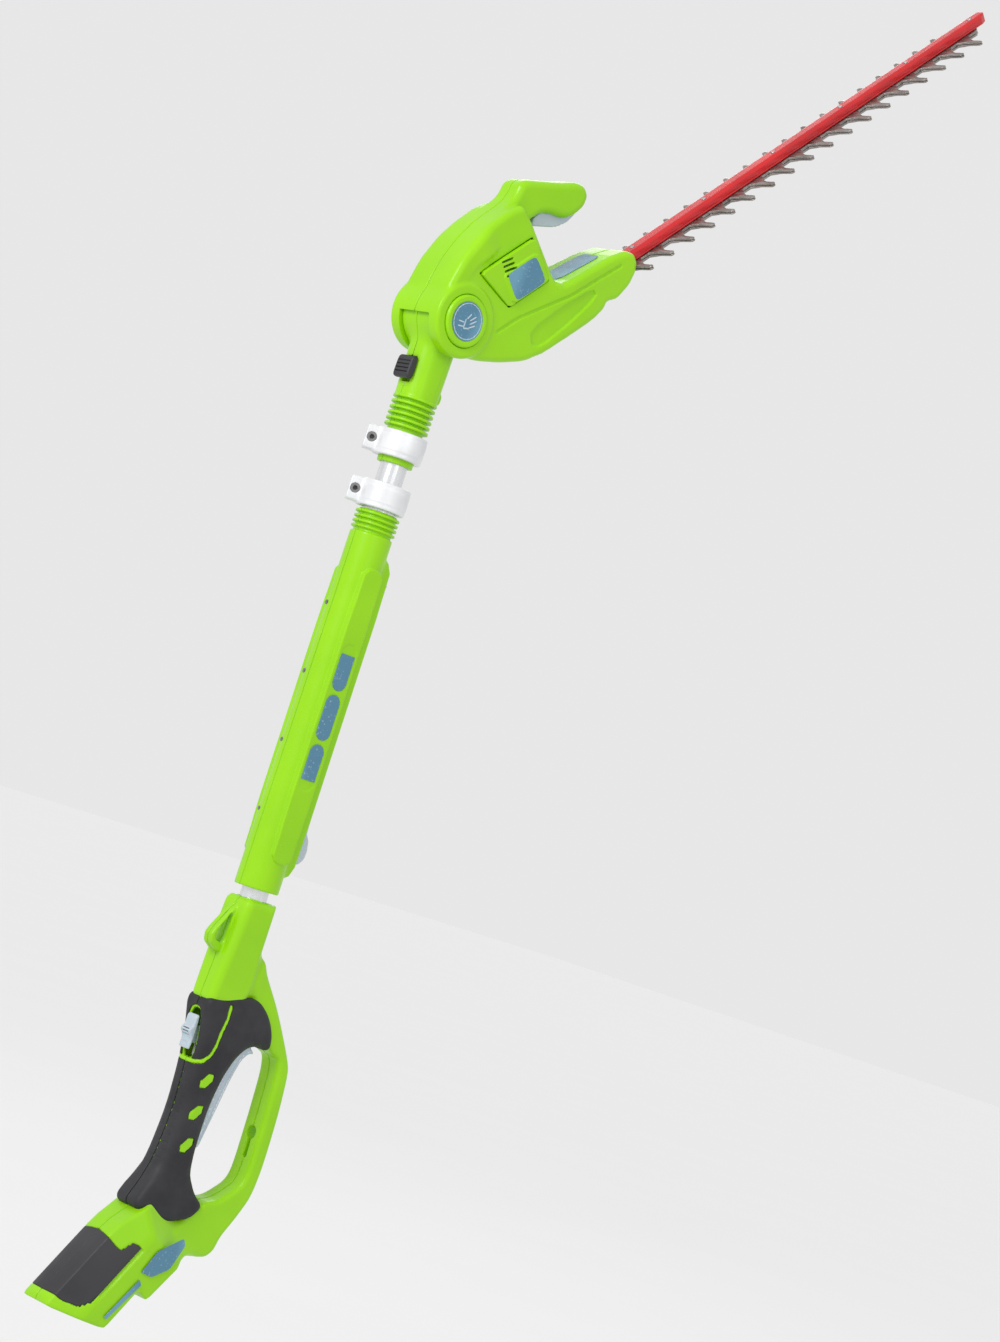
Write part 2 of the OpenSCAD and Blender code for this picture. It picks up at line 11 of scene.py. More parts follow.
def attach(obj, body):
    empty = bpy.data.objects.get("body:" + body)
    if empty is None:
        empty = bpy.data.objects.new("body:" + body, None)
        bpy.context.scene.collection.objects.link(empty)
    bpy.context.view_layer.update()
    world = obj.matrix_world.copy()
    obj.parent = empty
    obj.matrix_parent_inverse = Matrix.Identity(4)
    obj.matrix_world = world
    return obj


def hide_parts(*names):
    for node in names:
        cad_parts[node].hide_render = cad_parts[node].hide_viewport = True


# Lengths are in millimetres until a mesh is made, and +X is the front, +Y the left and +Z up the pole.
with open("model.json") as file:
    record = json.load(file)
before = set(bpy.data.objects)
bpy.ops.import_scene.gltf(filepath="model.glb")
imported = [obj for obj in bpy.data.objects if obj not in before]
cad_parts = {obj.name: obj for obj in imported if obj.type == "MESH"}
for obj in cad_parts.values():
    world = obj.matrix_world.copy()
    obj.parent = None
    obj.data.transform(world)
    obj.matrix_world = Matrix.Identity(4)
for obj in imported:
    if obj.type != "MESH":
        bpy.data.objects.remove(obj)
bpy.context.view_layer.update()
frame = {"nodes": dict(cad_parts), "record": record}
MM = 0.001
WALL = 3.0
TUBE_R = 12.5
CRANK_Z = 116
DRUM_R = 33.8
HUB_R = 29.9
HUB_HALF = 20
HOUSING_HALF = 31.9
RUBBER = 1.45
TILT = math.radians(42.8)
LEAN = math.radians(32)
PIVOT_Z = 740
ROW = Matrix.Identity(4)
HEAD = Matrix.Translation((0, 0, PIVOT_Z)) @ Matrix.Rotation(TILT, 4, "Y")
HOUSING_Z = -120
LUG_TURN = math.radians(-35)
SKY = 0.8


# ---------------------------------------------------------------- materials
class Nodes:
    """A material with a Principled shader and short calls for the nodes in front of it."""

    def __init__(self, name, rough, metal=0.0, **fixed):
        self.material = bpy.data.materials.new(name)
        self.material.use_nodes = True
        self.tree = self.material.node_tree
        self.shader = self.tree.nodes["Principled BSDF"]
        self.shader.inputs["Roughness"].default_value = rough
        self.shader.inputs["Metallic"].default_value = metal
        for socket, value in fixed.items():
            self.shader.inputs[socket.replace("_", " ")].default_value = value
        self.place = self.add("ShaderNodeTexCoord").outputs["Object"]

    def add(self, kind, **settings):
        node = self.tree.nodes.new(kind)
        for key, value in settings.items():
            setattr(node, key, value)
        return node

    def link(self, a, b):
        self.tree.links.new(a, b)

    def stretched(self, scale):
        node = self.add("ShaderNodeMapping")
        node.inputs["Scale"].default_value = scale
        self.link(self.place, node.inputs["Vector"])
        return node.outputs["Vector"]

    def noise(self, scale, detail=3.0, vector=None):
        node = self.add("ShaderNodeTexNoise")
        node.inputs["Scale"].default_value = scale
        node.inputs["Detail"].default_value = detail
        self.link(vector or self.place, node.inputs["Vector"])
        return node.outputs["Fac"]

    def cells(self, scale, vector=None):
        node = self.add("ShaderNodeTexVoronoi")
        node.inputs["Scale"].default_value = scale
        self.link(vector or self.place, node.inputs["Vector"])
        return node.outputs["Distance"]

    def remap(self, value, low, high, to_low=0.0, to_high=1.0):
        node = self.add("ShaderNodeMapRange")
        for key, number in zip(("From Min", "From Max", "To Min", "To Max"), (low, high, to_low, to_high)):
            node.inputs[key].default_value = number
        self.link(value, node.inputs["Value"])
        return node.outputs["Result"]

    def mix(self, factor, a, b):
        node = self.add("ShaderNodeMix", data_type="RGBA")
        self.link(factor, node.inputs["Factor"])
        for socket, colour in ((node.inputs[6], a), (node.inputs[7], b)):
            if isinstance(colour, tuple):
                socket.default_value = (*colour, 1)
            else:
                self.link(colour, socket)
        return node.outputs[2]

    def worn_edges(self, low=0.53, high=0.62):
        return self.remap(self.add("ShaderNodeNewGeometry").outputs["Pointiness"], low, high)

    def bump(self, height, strength, distance):
        node = self.add("ShaderNodeBump")
        node.inputs["Strength"].default_value = strength
        node.inputs["Distance"].default_value = distance
        self.link(height, node.inputs["Height"])
        self.link(node.outputs["Normal"], self.shader.inputs["Normal"])

    def colour(self, socket):
        self.link(socket, self.shader.inputs["Base Color"])

    def roughness(self, value, low, high):
        self.link(self.remap(value, 0.3, 0.7, low, high), self.shader.inputs["Roughness"])


def moulded(name, main, shade, edge, rough, grain=0.00012, **fixed):
    """Injection moulded plastic: a slow drift of colour, paler worn edges and a fine etched grain."""
    m = Nodes(name, rough, **fixed)
    body = m.mix(m.remap(m.noise(14, 2), 0.35, 0.65), main, shade)
    m.colour(m.mix(m.worn_edges(), body, edge))
    m.roughness(m.noise(60, 4), rough - 0.05, rough + 0.07)
    m.bump(m.noise(2600, 2), 0.22, grain)
    return m.material


def rubber():
    m = Nodes("grip_rubber", 0.62, Specular_IOR_Level=0.35)
    body = m.mix(m.remap(m.noise(25, 3), 0.35, 0.65), (0.018, 0.018, 0.021), (0.031, 0.031, 0.035))
    m.colour(m.mix(m.worn_edges(0.54, 0.66), body, (0.075, 0.075, 0.08)))
    m.roughness(m.noise(140, 3), 0.5, 0.66)
    m.bump(m.cells(1500), 0.35, 0.0002)
    return m.material


def aluminium(name, tone, rough, streak):
    """Drawn and brushed aluminium, with fine streaks along the object's own Z."""
    m = Nodes(name, rough, 0.85)
    lines = m.noise(700, 4, m.stretched((1, 1, streak)))
    pale = tuple(c * 0.86 for c in tone)
    m.colour(m.mix(m.remap(lines, 0.35, 0.65), tone, pale))
    m.roughness(lines, rough - 0.06, rough + 0.1)
    m.bump(lines, 0.12, 0.0001)
    return m.material


def cast_collar():
    m = Nodes("collar_aluminium", 0.38, 0.25, Coat_Weight=0.2)
    body = m.mix(m.remap(m.noise(40, 3), 0.35, 0.65), (0.80, 0.81, 0.82), (0.70, 0.71, 0.73))
    m.colour(m.mix(m.worn_edges(0.54, 0.66), body, (0.93, 0.93, 0.94)))
    m.roughness(m.noise(90, 4), 0.3, 0.45)
    m.bump(m.noise(1800, 3), 0.25, 0.00015)
    return m.material


def red_bar():
    m = Nodes("bar_red", 0.36, 0.0, Coat_Weight=0.15)
    body = m.mix(m.remap(m.noise(30, 3), 0.35, 0.65), (0.60, 0.006, 0.010), (0.50, 0.004, 0.008))
    # Painted sheen: long pinkish lighter streaks mixed into the red base colour, standing in for the
    # highlight on the lit face.
    painted_sheen = m.remap(m.noise(260, 5, m.stretched((1, 1, 0.15))), 0.66, 0.78, 0.0, 0.35)
    m.colour(m.mix(painted_sheen, body, (0.62, 0.12, 0.11)))
    m.roughness(m.noise(120, 3), 0.24, 0.42)
    m.bump(m.noise(1500, 2), 0.12, 0.0001)
    return m.material


def ground_steel():
    """Blade steel: grinding lines across the blade and dull brown-grey patches."""
    m = Nodes("blade_steel", 0.36, 0.9)
    lines = m.noise(900, 4, m.stretched((1, 0.06, 1)))
    patches = m.remap(m.noise(38, 4), 0.4, 0.68)
    body = m.mix(patches, (0.33, 0.30, 0.28), (0.20, 0.175, 0.16))
    m.colour(m.mix(m.remap(lines, 0.42, 0.62, 0.0, 0.55), body, (0.47, 0.445, 0.42)))
    m.roughness(lines, 0.27, 0.5)
    m.bump(lines, 0.25, 0.0001)
    return m.material


def printed(name, ground, second, pattern):
    """Printed film with soft two-tone fields and no lettering."""
    m = Nodes(name, 0.32, Coat_Weight=0.4)
    wave = m.add("ShaderNodeTexWave", wave_type=pattern)
    wave.inputs["Scale"].default_value = 5
    wave.inputs["Distortion"].default_value = 4
    m.link(m.place, wave.inputs["Vector"])
    base = m.mix(m.remap(wave.outputs["Fac"], 0.3, 0.8), ground, second)
    speck = m.remap(m.noise(400, 3), 0.62, 0.7, 0.0, 0.35)
    m.colour(m.mix(speck, base, (0.55, 0.66, 0.72)))
    m.roughness(m.noise(80, 3), 0.26, 0.4)
    return m.material


def copper():
    m = Nodes("contact_metal", 0.3, 0.95)
    m.colour(m.mix(m.remap(m.noise(60, 3), 0.4, 0.6), (0.75, 0.42, 0.24), (0.6, 0.31, 0.17)))
    m.bump(m.noise(900, 2), 0.1, 0.0001)
    return m.material


def floor_material():
    m = Nodes("floor", 0.9, Specular_IOR_Level=0.1)
    m.colour(m.mix(m.noise(3, 2), (0.24, 0.24, 0.24), (0.26, 0.26, 0.26)))
    m.shader.inputs["Emission Color"].default_value = (1, 1, 1, 1)
    m.shader.inputs["Emission Strength"].default_value = 0.75 * SKY
    return m.material


MATERIALS = {
    "lime_plastic": moulded("lime_plastic", (0.295, 0.66, 0.002), (0.265, 0.61, 0.002),
                            (0.42, 0.80, 0.03), 0.32, Specular_IOR_Level=0.3, Coat_Weight=0.08),
    "grip_rubber": rubber(),
    "black_plastic": moulded("black_plastic", (0.022, 0.022, 0.025), (0.032, 0.032, 0.036),
                             (0.08, 0.08, 0.085), 0.5),
    "grey_plastic": moulded("grey_plastic", (0.50, 0.575, 0.63), (0.43, 0.51, 0.575),
                            (0.72, 0.78, 0.82), 0.34, Subsurface_Weight=0.15, Subsurface_Scale=0.003),
    "tube_aluminium": aluminium("tube_aluminium", (0.83, 0.84, 0.86), 0.26, 0.04),
    "collar_aluminium": cast_collar(),
    "bar_red": red_bar(),
    "blade_steel": ground_steel(),
    "part_steel": aluminium("part_steel", (0.45, 0.45, 0.46), 0.36, 0.3),
    "screw_black": moulded("screw_black", (0.03, 0.03, 0.032), (0.05, 0.05, 0.052), (0.2, 0.2, 0.2), 0.4),
    "label_blue": printed("label_blue", (0.060, 0.200, 0.310), (0.115, 0.300, 0.420), "BANDS"),
    "cable_black": moulded("cable_black", (0.02, 0.02, 0.02), (0.03, 0.03, 0.03), (0.06, 0.06, 0.06), 0.6),
    "contact_metal": copper(),
}


# ---------------------------------------------------------- solids by distance
class Space:
    """A block of space sampled at an even step. Its x, y and z broadcast to the whole block."""

    def __init__(self, low, high, step):
        self.low = np.array(low, np.float32)
        self.step = step
        axes = [np.arange(a, b + step, step, dtype=np.float32) for a, b in zip(low, high)]
        self.x = axes[0][:, None, None]
        self.y = axes[1][None, :, None]
        self.z = axes[2][None, None, :]
        self.shape = tuple(len(a) for a in axes)
        self.side = np.abs(self.y)


def curve(points, rounds=3, keep=0.22):
    """An outline with its corners cut again and again, until it is smooth."""
    for _ in range(rounds):
        cut_points = []
        for (ax, ay), (bx, by) in zip(points, points[1:] + points[:1]):
            cut_points.append((ax + (bx - ax) * keep, ay + (by - ay) * keep))
            cut_points.append((bx - (bx - ax) * keep, by - (by - ay) * keep))
        points = cut_points
    return points


def outline(points, u, v):
    """Distance from (u, v) to a closed outline, negative inside it."""
    best = np.float32(1e9)
    inside = False
    for (ax, ay), (bx, by) in zip(points[-1:] + points[:-1], points):
        ex, ey = bx - ax, by - ay
        wu, wv = u - ax, v - ay
        t = np.clip((wu * ex + wv * ey) / (ex * ex + ey * ey + 1e-9), 0, 1)
        best = np.minimum(best, (wu - ex * t) ** 2 + (wv - ey * t) ** 2)
        crossed = ((v < ay) != (v < by)) & (wu < ex * wv / (ey if ey else 1.0))
        inside = inside ^ crossed
    return (np.sqrt(best) * np.where(inside, -1, 1)).astype(np.float32)


def stroke(points, u, v):
    """Distance from (u, v) to an open line."""
    best = np.float32(1e9)
    for (ax, ay), (bx, by) in zip(points, points[1:]):
        ex, ey = bx - ax, by - ay
        wu, wv = u - ax, v - ay
        t = np.clip((wu * ex + wv * ey) / (ex * ex + ey * ey + 1e-9), 0, 1)
        best = np.minimum(best, (wu - ex * t) ** 2 + (wv - ey * t) ** 2)
    return np.sqrt(best).astype(np.float32)


def slab(flat, across, half, r=0.5):
    """A flat distance made solid to half on each side of across = 0, with its edges rounded to r."""
    a = flat + r
    b = np.abs(across) - half + r
    return np.minimum(np.maximum(a, b), 0) + np.hypot(np.maximum(a, 0), np.maximum(b, 0)) - r


def disc(u, v, radius):
    return np.hypot(u, v) - radius


def join(a, b, k=0.0):
    """Union of two solids, with a fillet of about k."""
    if not k:
        return np.minimum(a, b)
    h = np.clip(0.5 + 0.5 * (b - a) / k, 0, 1)
    return b * (1 - h) + a * h - k * h * (1 - h)


def cut(a, b, k=0.0):
    return -join(-a, b, k)


def both(a, b, k=0.0):
    return -join(-a, -b, k)


def hollow(d):
    return np.maximum(d, -(d + WALL))


def seam(d, side, wide=0.9, deep=0.45):
    """A small V along the joint of the two halves of a case."""
    return d + deep * np.maximum(0, 1 - side / wide)


def skin(space, d):
    """(points, faces of three, faces of four) of the surface where d is zero."""
    grid = openvdb.FloatGrid()
    reach = 3 * space.step
    block = np.clip(np.broadcast_to(d, space.shape), -reach, reach).astype(np.float32)
    pad = np.full(tuple(n + 2 for n in space.shape), reach, np.float32)
    pad[1:-1, 1:-1, 1:-1] = block
    grid.copyFromArray(pad)
    points, threes, fours = grid.convertToPolygons(0.0, 0.0)
    return (points - 1) * space.step + space.low, threes, fours


def mesh_of(name, space, d, matrix):
    points, threes, fours = skin(space, d)
    turn = np.array(matrix.to_3x3())
    shift = np.array(matrix.translation)
    points = (points @ turn.T + shift) * MM
    corners = np.concatenate([threes[:, ::-1].ravel(), fours[:, ::-1].ravel()]).astype(np.int32)
    sizes = np.concatenate([np.full(len(threes), 3), np.full(len(fours), 4)])
    mesh = bpy.data.meshes.new(name)
    mesh.vertices.add(len(points))
    mesh.vertices.foreach_set("co", points.astype(np.float32).ravel())
    mesh.loops.add(len(corners))
    mesh.loops.foreach_set("vertex_index", corners)
    mesh.polygons.add(len(sizes))
    mesh.polygons.foreach_set("loop_start", np.concatenate([[0], np.cumsum(sizes)[:-1]]).astype(np.int32))
    mesh.polygons.foreach_set("use_smooth", np.ones(len(sizes), bool))
    mesh.update(calc_edges=True)
    mesh.validate()
    return mesh


def piece(name, mesh, body, slot, *nodes):
    """A finished piece on its body, in the finish of its slot, standing for its CAD nodes."""
    obj = bpy.data.objects.new(name, mesh)
    bpy.context.scene.collection.objects.link(obj)
    mesh.materials.append(MATERIALS[slot])
    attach(obj, body)
    if nodes:
        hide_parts(*nodes)
    return obj


def carve(name, space, d, matrix, body, slot, *nodes):
    return piece(name, mesh_of(name, space, d, matrix), body, slot, *nodes)


def case_halves(name, space, d, matrix, body, slot, gap=0.06):
    """The two halves of a moulded case, met at y = 0."""
    d = seam(d, space.side)
    carve(name + "_left_shell", space, np.maximum(d, gap - space.y), matrix, body, slot, name + "_left")
    carve(name + "_right_shell", space, np.maximum(d, gap + space.y), matrix, body, slot, name + "_right")


# ------------------------------------------------------------------- handle
GUARD = [(24, 147), (35, 134), (59, 107), (86, 70), (93, 57), (97, 20), (98.6, -31), (96, -60), (86, -82),
         (76, -100), (73, -114), (64, -122), (20, -122), (20, -100), (44, -73), (60, -69), (79, -53),
         (83, -40), (82, 10), (80, 50), (76, 65), (66, 69), (46, 84), (22, 120)]
COVER = [(-34, -88), (-24, -67), (-17, -44), (-13.5, 0), (-16, 40), (-21, 70), (-24.5, 98), (-21, 104),
         (-8, 105), (14, 112), (32, 112), (46, 103), (60, 86), (64.5, 75), (62.5, 69), (50, 71), (39, 67),
         (30, 56), (23, 38), (18, 10), (18, -28), (21, -50), (30, -66), (43, -77), (33, -90), (8, -97),
         (-14, -96)]
BATTERY = [(-30, 40), (-45, -16), (-46.6, -100), (-43, -106), (5, -85), (11.5, -81), (11.5, -37),
           (25.5, -37), (28, 8), (40, 34), (20, 62), (-16, 62)]
INLAY = [(1, 100), (2, 89), (-0.6, 75), (-1.2, 64), (-3.8, 55), (-10, 47.5), (-19, 44), (-34, 43.5)]
HEXAGONS = [(0.8, 31.8), (0.1, 2.7), (1.3, -26.8)]


def hexagon(centre, grow=0.0):
    """A long hexagon that leans with the grip."""
    along, across = 9 + grow, 4.4 + grow
    turn = math.radians(52)
    shape = [(1, 0), (0.55, 1), (-0.55, 1), (-1, 0), (-0.55, -1), (0.55, -1)]
    return [(centre[0] + along * a * math.cos(turn) - across * b * math.sin(turn),
             centre[1] + along * a * math.sin(turn) + across * b * math.cos(turn)) for a, b in shape]


def inlays(s, grow=0.0):
    """The lime line and the three lime hexagons that show through the rubber, as a flat distance."""
    d = stroke(INLAY, s.x, s.z) - 1.7 - grow
    for centre in HEXAGONS:
        d = np.minimum(d, outline(hexagon(centre, grow), s.x, s.z))
    return d


def leaning(s):
    """The flat coordinates of the battery housing."""
    height = s.z - HOUSING_Z
    return (s.x * math.cos(LEAN) - height * math.sin(LEAN), s.x * math.sin(LEAN) + height * math.cos(LEAN))


def battery_housing(s, p, q):
    d = slab(outline(curve(BATTERY, 1, 0.1), p, q), s.y, HOUSING_HALF, 3.5)
    section = [(-60, 0), (-47.2, 0), (-46.4, 9), (-44, 18), (-13, HOUSING_HALF), (60, HOUSING_HALF),
               (60, 60), (-60, 60)]
    outside = outline(section, p, s.side)
    narrowing = s.side - HOUSING_HALF + 0.72 * np.maximum(0, q - 2)
    return both(both(d, -outside, 2.0), narrowing, 4.0)


def grip_form(s):
    """The outside of the rubber, round in the middle and squarer at both ends."""
    d = slab(outline(curve(COVER, 2, 0.2), s.x, s.z), s.y, 17.4, 12.5)
    flare = slab(outline(curve(COVER, 2, 0.2), s.x, s.z), s.y, 17.4, 5.5)
    mixing = np.clip((np.abs(s.z - 10) - 62) / 22, 0, 1)
    return d * (1 - mixing) + flare * mixing


def handle_case(s, grip):
    """The closed outside of the handle, and the housing's flat coordinates."""
    p, q = leaning(s)
    neck_shape = curve([(-17.5, 196), (-20.5, 150), (-24, 98), (14, 98), (26, 128), (21, 148),
                        (22.8, 196)], 2, 0.1)
    neck = slab(outline(neck_shape, s.x, s.z), s.y, 18.8 - 3.4 * np.clip((165 - s.z) / 65, 0, 1), 7.5)
    facet = s.side * 0.62 + (s.x - 2) * 0.78 - 20.5
    neck = both(neck, facet, 1.5)
    guard = slab(outline(curve(GUARD, 2, 0.2), s.x, s.z), s.y, 14, 4.5)
    core = grip + 1.5
    d = join(neck, guard, 15)
    d = join(d, battery_housing(s, p, q), 9)
    d = join(d, core, 2.5)
    ridge = slab(stroke([(95, 52), (98, 20), (99.5, -31), (96, -62)], s.x, s.z) - 3, s.side - 8.5, 1.4,
                 0.6)
    d = cut(d, ridge, 0.8)
    return d, p, q


def strap_loop(s):
    """The loop on the back of the neck that a shoulder strap hooks into."""
    d = slab(outline(curve([(-16, 192), (-37, 158), (-35, 149), (-26, 143), (-14, 142)], 2, 0.15), s.x,
                     s.z), s.y, 6, 2)
    hole = slab(outline(curve([(-19.8, 184), (-32, 161), (-31, 153), (-20.5, 150)], 1, 0.2), s.x, s.z),
                s.y, 12)
    return cut(d, hole, 0.6)


def keyhole(s):
    """The hole for a wall hook, through the front of the guard bar."""
    d = np.minimum(disc(s.y, s.z + 4, 6.0), outline([(-2.2, -27), (2.2, -27), (2.2, -4), (-2.2, -4)], s.y,
                                                    s.z))
    return np.maximum(d, np.abs(s.x - 90) - 20)


def handle():
    s = Space((-98, -34.2, -206), (102, 34.2, 198), 0.95)
    grip = grip_form(s)
    case, p, q = handle_case(s, grip)
    solid_there = np.maximum(np.abs(s.x - 90) - 20, np.abs(s.z + 12) - 26)
    cavity = np.maximum(case + WALL, -solid_there)
    d = np.maximum(case, -cavity)
    d = join(d, strap_loop(s), 1.5)
    d = cut(d, keyhole(s), 0.8)
    d = np.maximum(d, -np.maximum(disc(s.x, s.y, TUBE_R), 126 - s.z))
    rim = slab(np.abs(disc(s.x - 2, s.y, 17)) - 0.8, s.z - 196, 1.0, 0.3)
    d = cut(d, rim, 0.3)
    slot = slab(outline([(12, -35), (30, -35), (34, 30), (52, 62), (53, 80), (20, 80), (12, 40)], s.x,
                        s.z), s.y, 8.3)
    d = cut(d, slot)
    slider_slot = slab(outline(curve([(-7.9, 46.5), (7.9, 46.5), (7.9, 91), (-7.9, 91)], 2, 0.2), s.y,
                               s.z), s.x + 22, 12)
    d = cut(d, slider_slot, 0.5)
    bay = np.maximum(np.maximum(np.abs(p - 8) - 5, np.abs(q + 66) - 29), s.side - 27)
    d = cut(d, bay, 0.4)
    panel_seat = np.maximum(outline(curve(PANEL, 1, 0.08), q, s.side), p + 14)
    d = cut(d, np.maximum(panel_seat, -(case + 1.6)))
    proud = np.maximum(np.maximum(inlays(s, -0.1), grip + 0.25), -(grip + 4))
    d = join(d, proud)
    case_halves("handle", s, d, ROW, "handle", "lime_plastic")
    rubber_grip(s, grip, slot, slider_slot)
    battery_panel()
    battery_bay()


def rubber_grip(s, grip, slot, slider_slot):
    d = np.maximum(grip, -(grip + RUBBER))
    d = np.maximum(d, -inlays(s, 0.15))
    wide = outline(curve([(12, -36), (31, -36), (35, 30), (53, 62), (54, 81), (20, 81), (12, 40)], 1, 0.1),
                   s.x, s.z)
    d = cut(d, slab(wide, s.y, 8.9, 1), 0.6)
    d = cut(d, slider_slot - 1.6, 0.6)
    lines = np.abs(np.mod(s.z + 40, 7.0) - 3.5)
    pad = np.maximum(np.maximum(np.abs(s.z + 8) - 42, s.side - 9.5), s.x + 6)
    d = cut(d, np.maximum(np.maximum(lines - 0.55, -(grip + 0.5)), pad), 0.5)
    case_halves("grip", s, d, ROW, "handle", "grip_rubber")


PANEL = [(-23, 0), (-27, 24), (-14, 25.5), (-11.5, 28), (-13, 31.5), (-40, 31.5), (-79, 28.5), (-87, 26.5),
         (-94, 20), (-95, 0), (-94, -20), (-87, -26.5), (-79, -28.5), (-40, -31.5), (-13, -31.5),
         (-11.5, -28), (-14, -25.5), (-27, -24)]


def battery_panel():
    """The black cover let into the back of the battery housing."""
    s = Space((-96, -32.5, -203), (-14, 32.5, -92), 0.6)
    case, p, q = handle_case(s, grip_form(s))
    face = outline(curve(PANEL, 1, 0.08), q, s.y) + 0.25
    plate = np.maximum(np.maximum(face, p + 17.5), np.maximum(case + 0.1, -(case + 1.5)))
    plate = cut(plate, slab(s.side - 0.35, case, 0.6, 0.1))
    carve("battery_cover", s, plate, ROW, "handle", "black_plastic", "battery_panel")


def battery_bay():
    """The two rails of the battery slide, the black terminal block and its three contacts."""
    place = Matrix.Translation((0, 0, HOUSING_Z)) @ Matrix.Rotation(LEAN, 4, "Y")
    s = Space((2, -28, -84), (12, 28, -38), 0.5)
    web = slab(np.maximum(np.abs(s.x - 6.5) - 3.8, np.abs(s.side - 25.4) - 1.7), s.z + 61, 20, 0.4)
    lip = slab(np.maximum(np.abs(s.x - 9.2) - 1.2, np.abs(s.side - 22.2) - 2), s.z + 61, 20, 0.4)
    carve("battery_slide_rails", s, join(web, lip, 0.5), place, "handle", "lime_plastic", "battery_rails")
    s = Space((2, -20, -59), (20, 20, -37), 0.5)
    block = slab(np.maximum(np.abs(s.x - 10.5) - 6.5, np.abs(s.z + 47.5) - 9.5), s.y, 18.5, 0.8)
    for y in (-12, 0, 12):
        block = cut(block, np.maximum(np.maximum(np.abs(s.y - y) - 1.6, np.abs(s.x - 11) - 4), s.z + 52),
                    0.3)
    carve("battery_terminals", s, block, place, "handle", "black_plastic", "terminal_block")
    s = Space((6, -14, -64), (16, 14, -50), 0.35)
    blades = np.minimum(np.minimum(np.abs(s.y + 12), np.abs(s.y)), np.abs(s.y - 12)) - 0.5
    blades = both(blades, np.maximum(np.abs(s.x - 11) - 3, np.abs(s.z + 57.5) - 5), 0.2)
    carve("battery_contact_blades", s, blades, place, "handle", "contact_metal", "battery_contacts")


# ----------------------------------------------------- trigger and lock-out
def trigger():
    s = Space((12, -9, -34), (60, 9, 80), 0.6)
    shape = curve([(45, 70), (52, 64), (46, 63), (40, 56), (35, 38), (30.5, 12), (26, -12), (23.5, -27),
                   (18.6, -30), (17, -26), (18.5, 12), (21, 36), (27, 58), (32, 70), (33, 77), (39, 77)],
                  1, 0.2)
    d = slab(outline(shape, s.x, s.z), s.y, 7.8, 2.6)
    rib = slab(stroke([(36, 58), (29.5, 34), (25, 8), (21.5, -20)], s.x, s.z) - 1.2, s.side - 7.9, 0.6,
               0.2)
    d = cut(d, rib, 0.4)
    d = cut(d, disc(s.x - 36, s.z - 72, 2.06))
    carve("trigger_lever", s, d, ROW, "trigger", "grey_plastic", "trigger")


def lockout():
    s = Space((-31, -8, 50), (-5, 8, 90), 0.5)
    shape = curve([(-23.8, 54), (-23, 63), (-25, 66), (-27.6, 69.5), (-27.2, 71.5), (-24.6, 74.5),
                   (-24.6, 83), (-22.6, 85.4), (-20.4, 84), (-20.4, 54)], 2, 0.2)
    thumb = slab(outline(shape, s.x, s.z), s.y, 7.1, 1.4)
    grooves = slab(np.abs(np.mod(s.z, 2.6) - 1.3) - 0.4, s.y, 4.6, 0.2)
    thumb = cut(thumb, np.maximum(grooves, np.maximum(s.x + 23.6, np.abs(s.z - 69) - 4.5)), 0.3)
    stem = slab(np.maximum(np.abs(s.x + 15.5) - 8.4, np.abs(s.z - 68) - 7.9), s.y, 3.9, 0.4)
    carve("lockout_thumb_piece", s, join(thumb, stem, 0.5), ROW, "lockout", "grey_plastic",
          "lockout_slider")


# ------------------------------------------------------------- lower pole
def sleeve():
    s = Space((-24, -23, 203), (32, 23, 558), 0.85)
    taper = 20.4 - 0.0025 * (s.z - 205)
    body = slab(disc(s.x, s.y, 0) - taper, s.z - 370, 165, 1.2)
    ridge_top = curve([(8, 222), (8, 518), (22, 518), (29.4, 506), (29.4, 235), (24, 222)], 1, 0.15)
    ridge = slab(outline(ridge_top, s.x, s.z), s.y, 9, 2)
    d = join(body, ridge, 4)
    pad = slab(outline(curve([(-12, 240), (-6, 232), (7, 232), (12, 240), (12, 497), (7, 505), (-6, 505),
                              (-12, 497)], 1, 0.2), s.x, s.z), s.side - 16, 5.6, 0.9)
    d = join(d, pad, 0.6)
    core = slab(disc(s.x, s.y, 17.4), s.z - 545, 11, 0.3)
    d = join(d, core)
    for i in range(4):
        d = join(d, slab(disc(s.x, s.y, 20.4), s.z - (539.2 + i * 4.6), 1.2, 0.5), 0.6)
    rings = np.abs(np.mod(s.z - 208.5, 64.0) - 32) - 29.5
    d = np.maximum(d, -np.maximum(np.maximum(disc(s.x, s.y, 17.4), rings), np.abs(s.z - 370) - 160))
    d = np.maximum(d, -np.maximum(disc(s.x, s.y, 14.5), 209 - s.z))
    d = np.maximum(d, -disc(s.x, s.y, TUBE_R))
    lever_slot = slab(outline([(16.2, 232), (34, 232), (34, 504), (16.2, 504)], s.x, s.z), s.y, 6.3)
    d = cut(d, lever_slot, 0.4)
    for i in range(-1, 2):
        seat = slab(pill(s, 368 + i * 46, 8.6, 13), s.side - 22, 0.8, 0.1)
        d = cut(d, seat, 0.2)
    case_halves("sleeve", s, d, ROW, "handle", "lime_plastic")


def pill(s, middle, r, reach):
    return disc(s.x, np.maximum(np.abs(s.z - middle) - reach, 0), r)


def sleeve_labels():
    s = Space((-10, -22.6, 310), (10, 22.6, 426), 0.5)
    d = np.float32(99)
    for i in range(-1, 2):
        d = np.minimum(d, slab(pill(s, 368 + i * 46, 8, 13), s.side - 21.3, 0.6, 0.2))
    carve("sleeve_label_plates", s, d, ROW, "handle", "label_blue", "sleeve_labels")


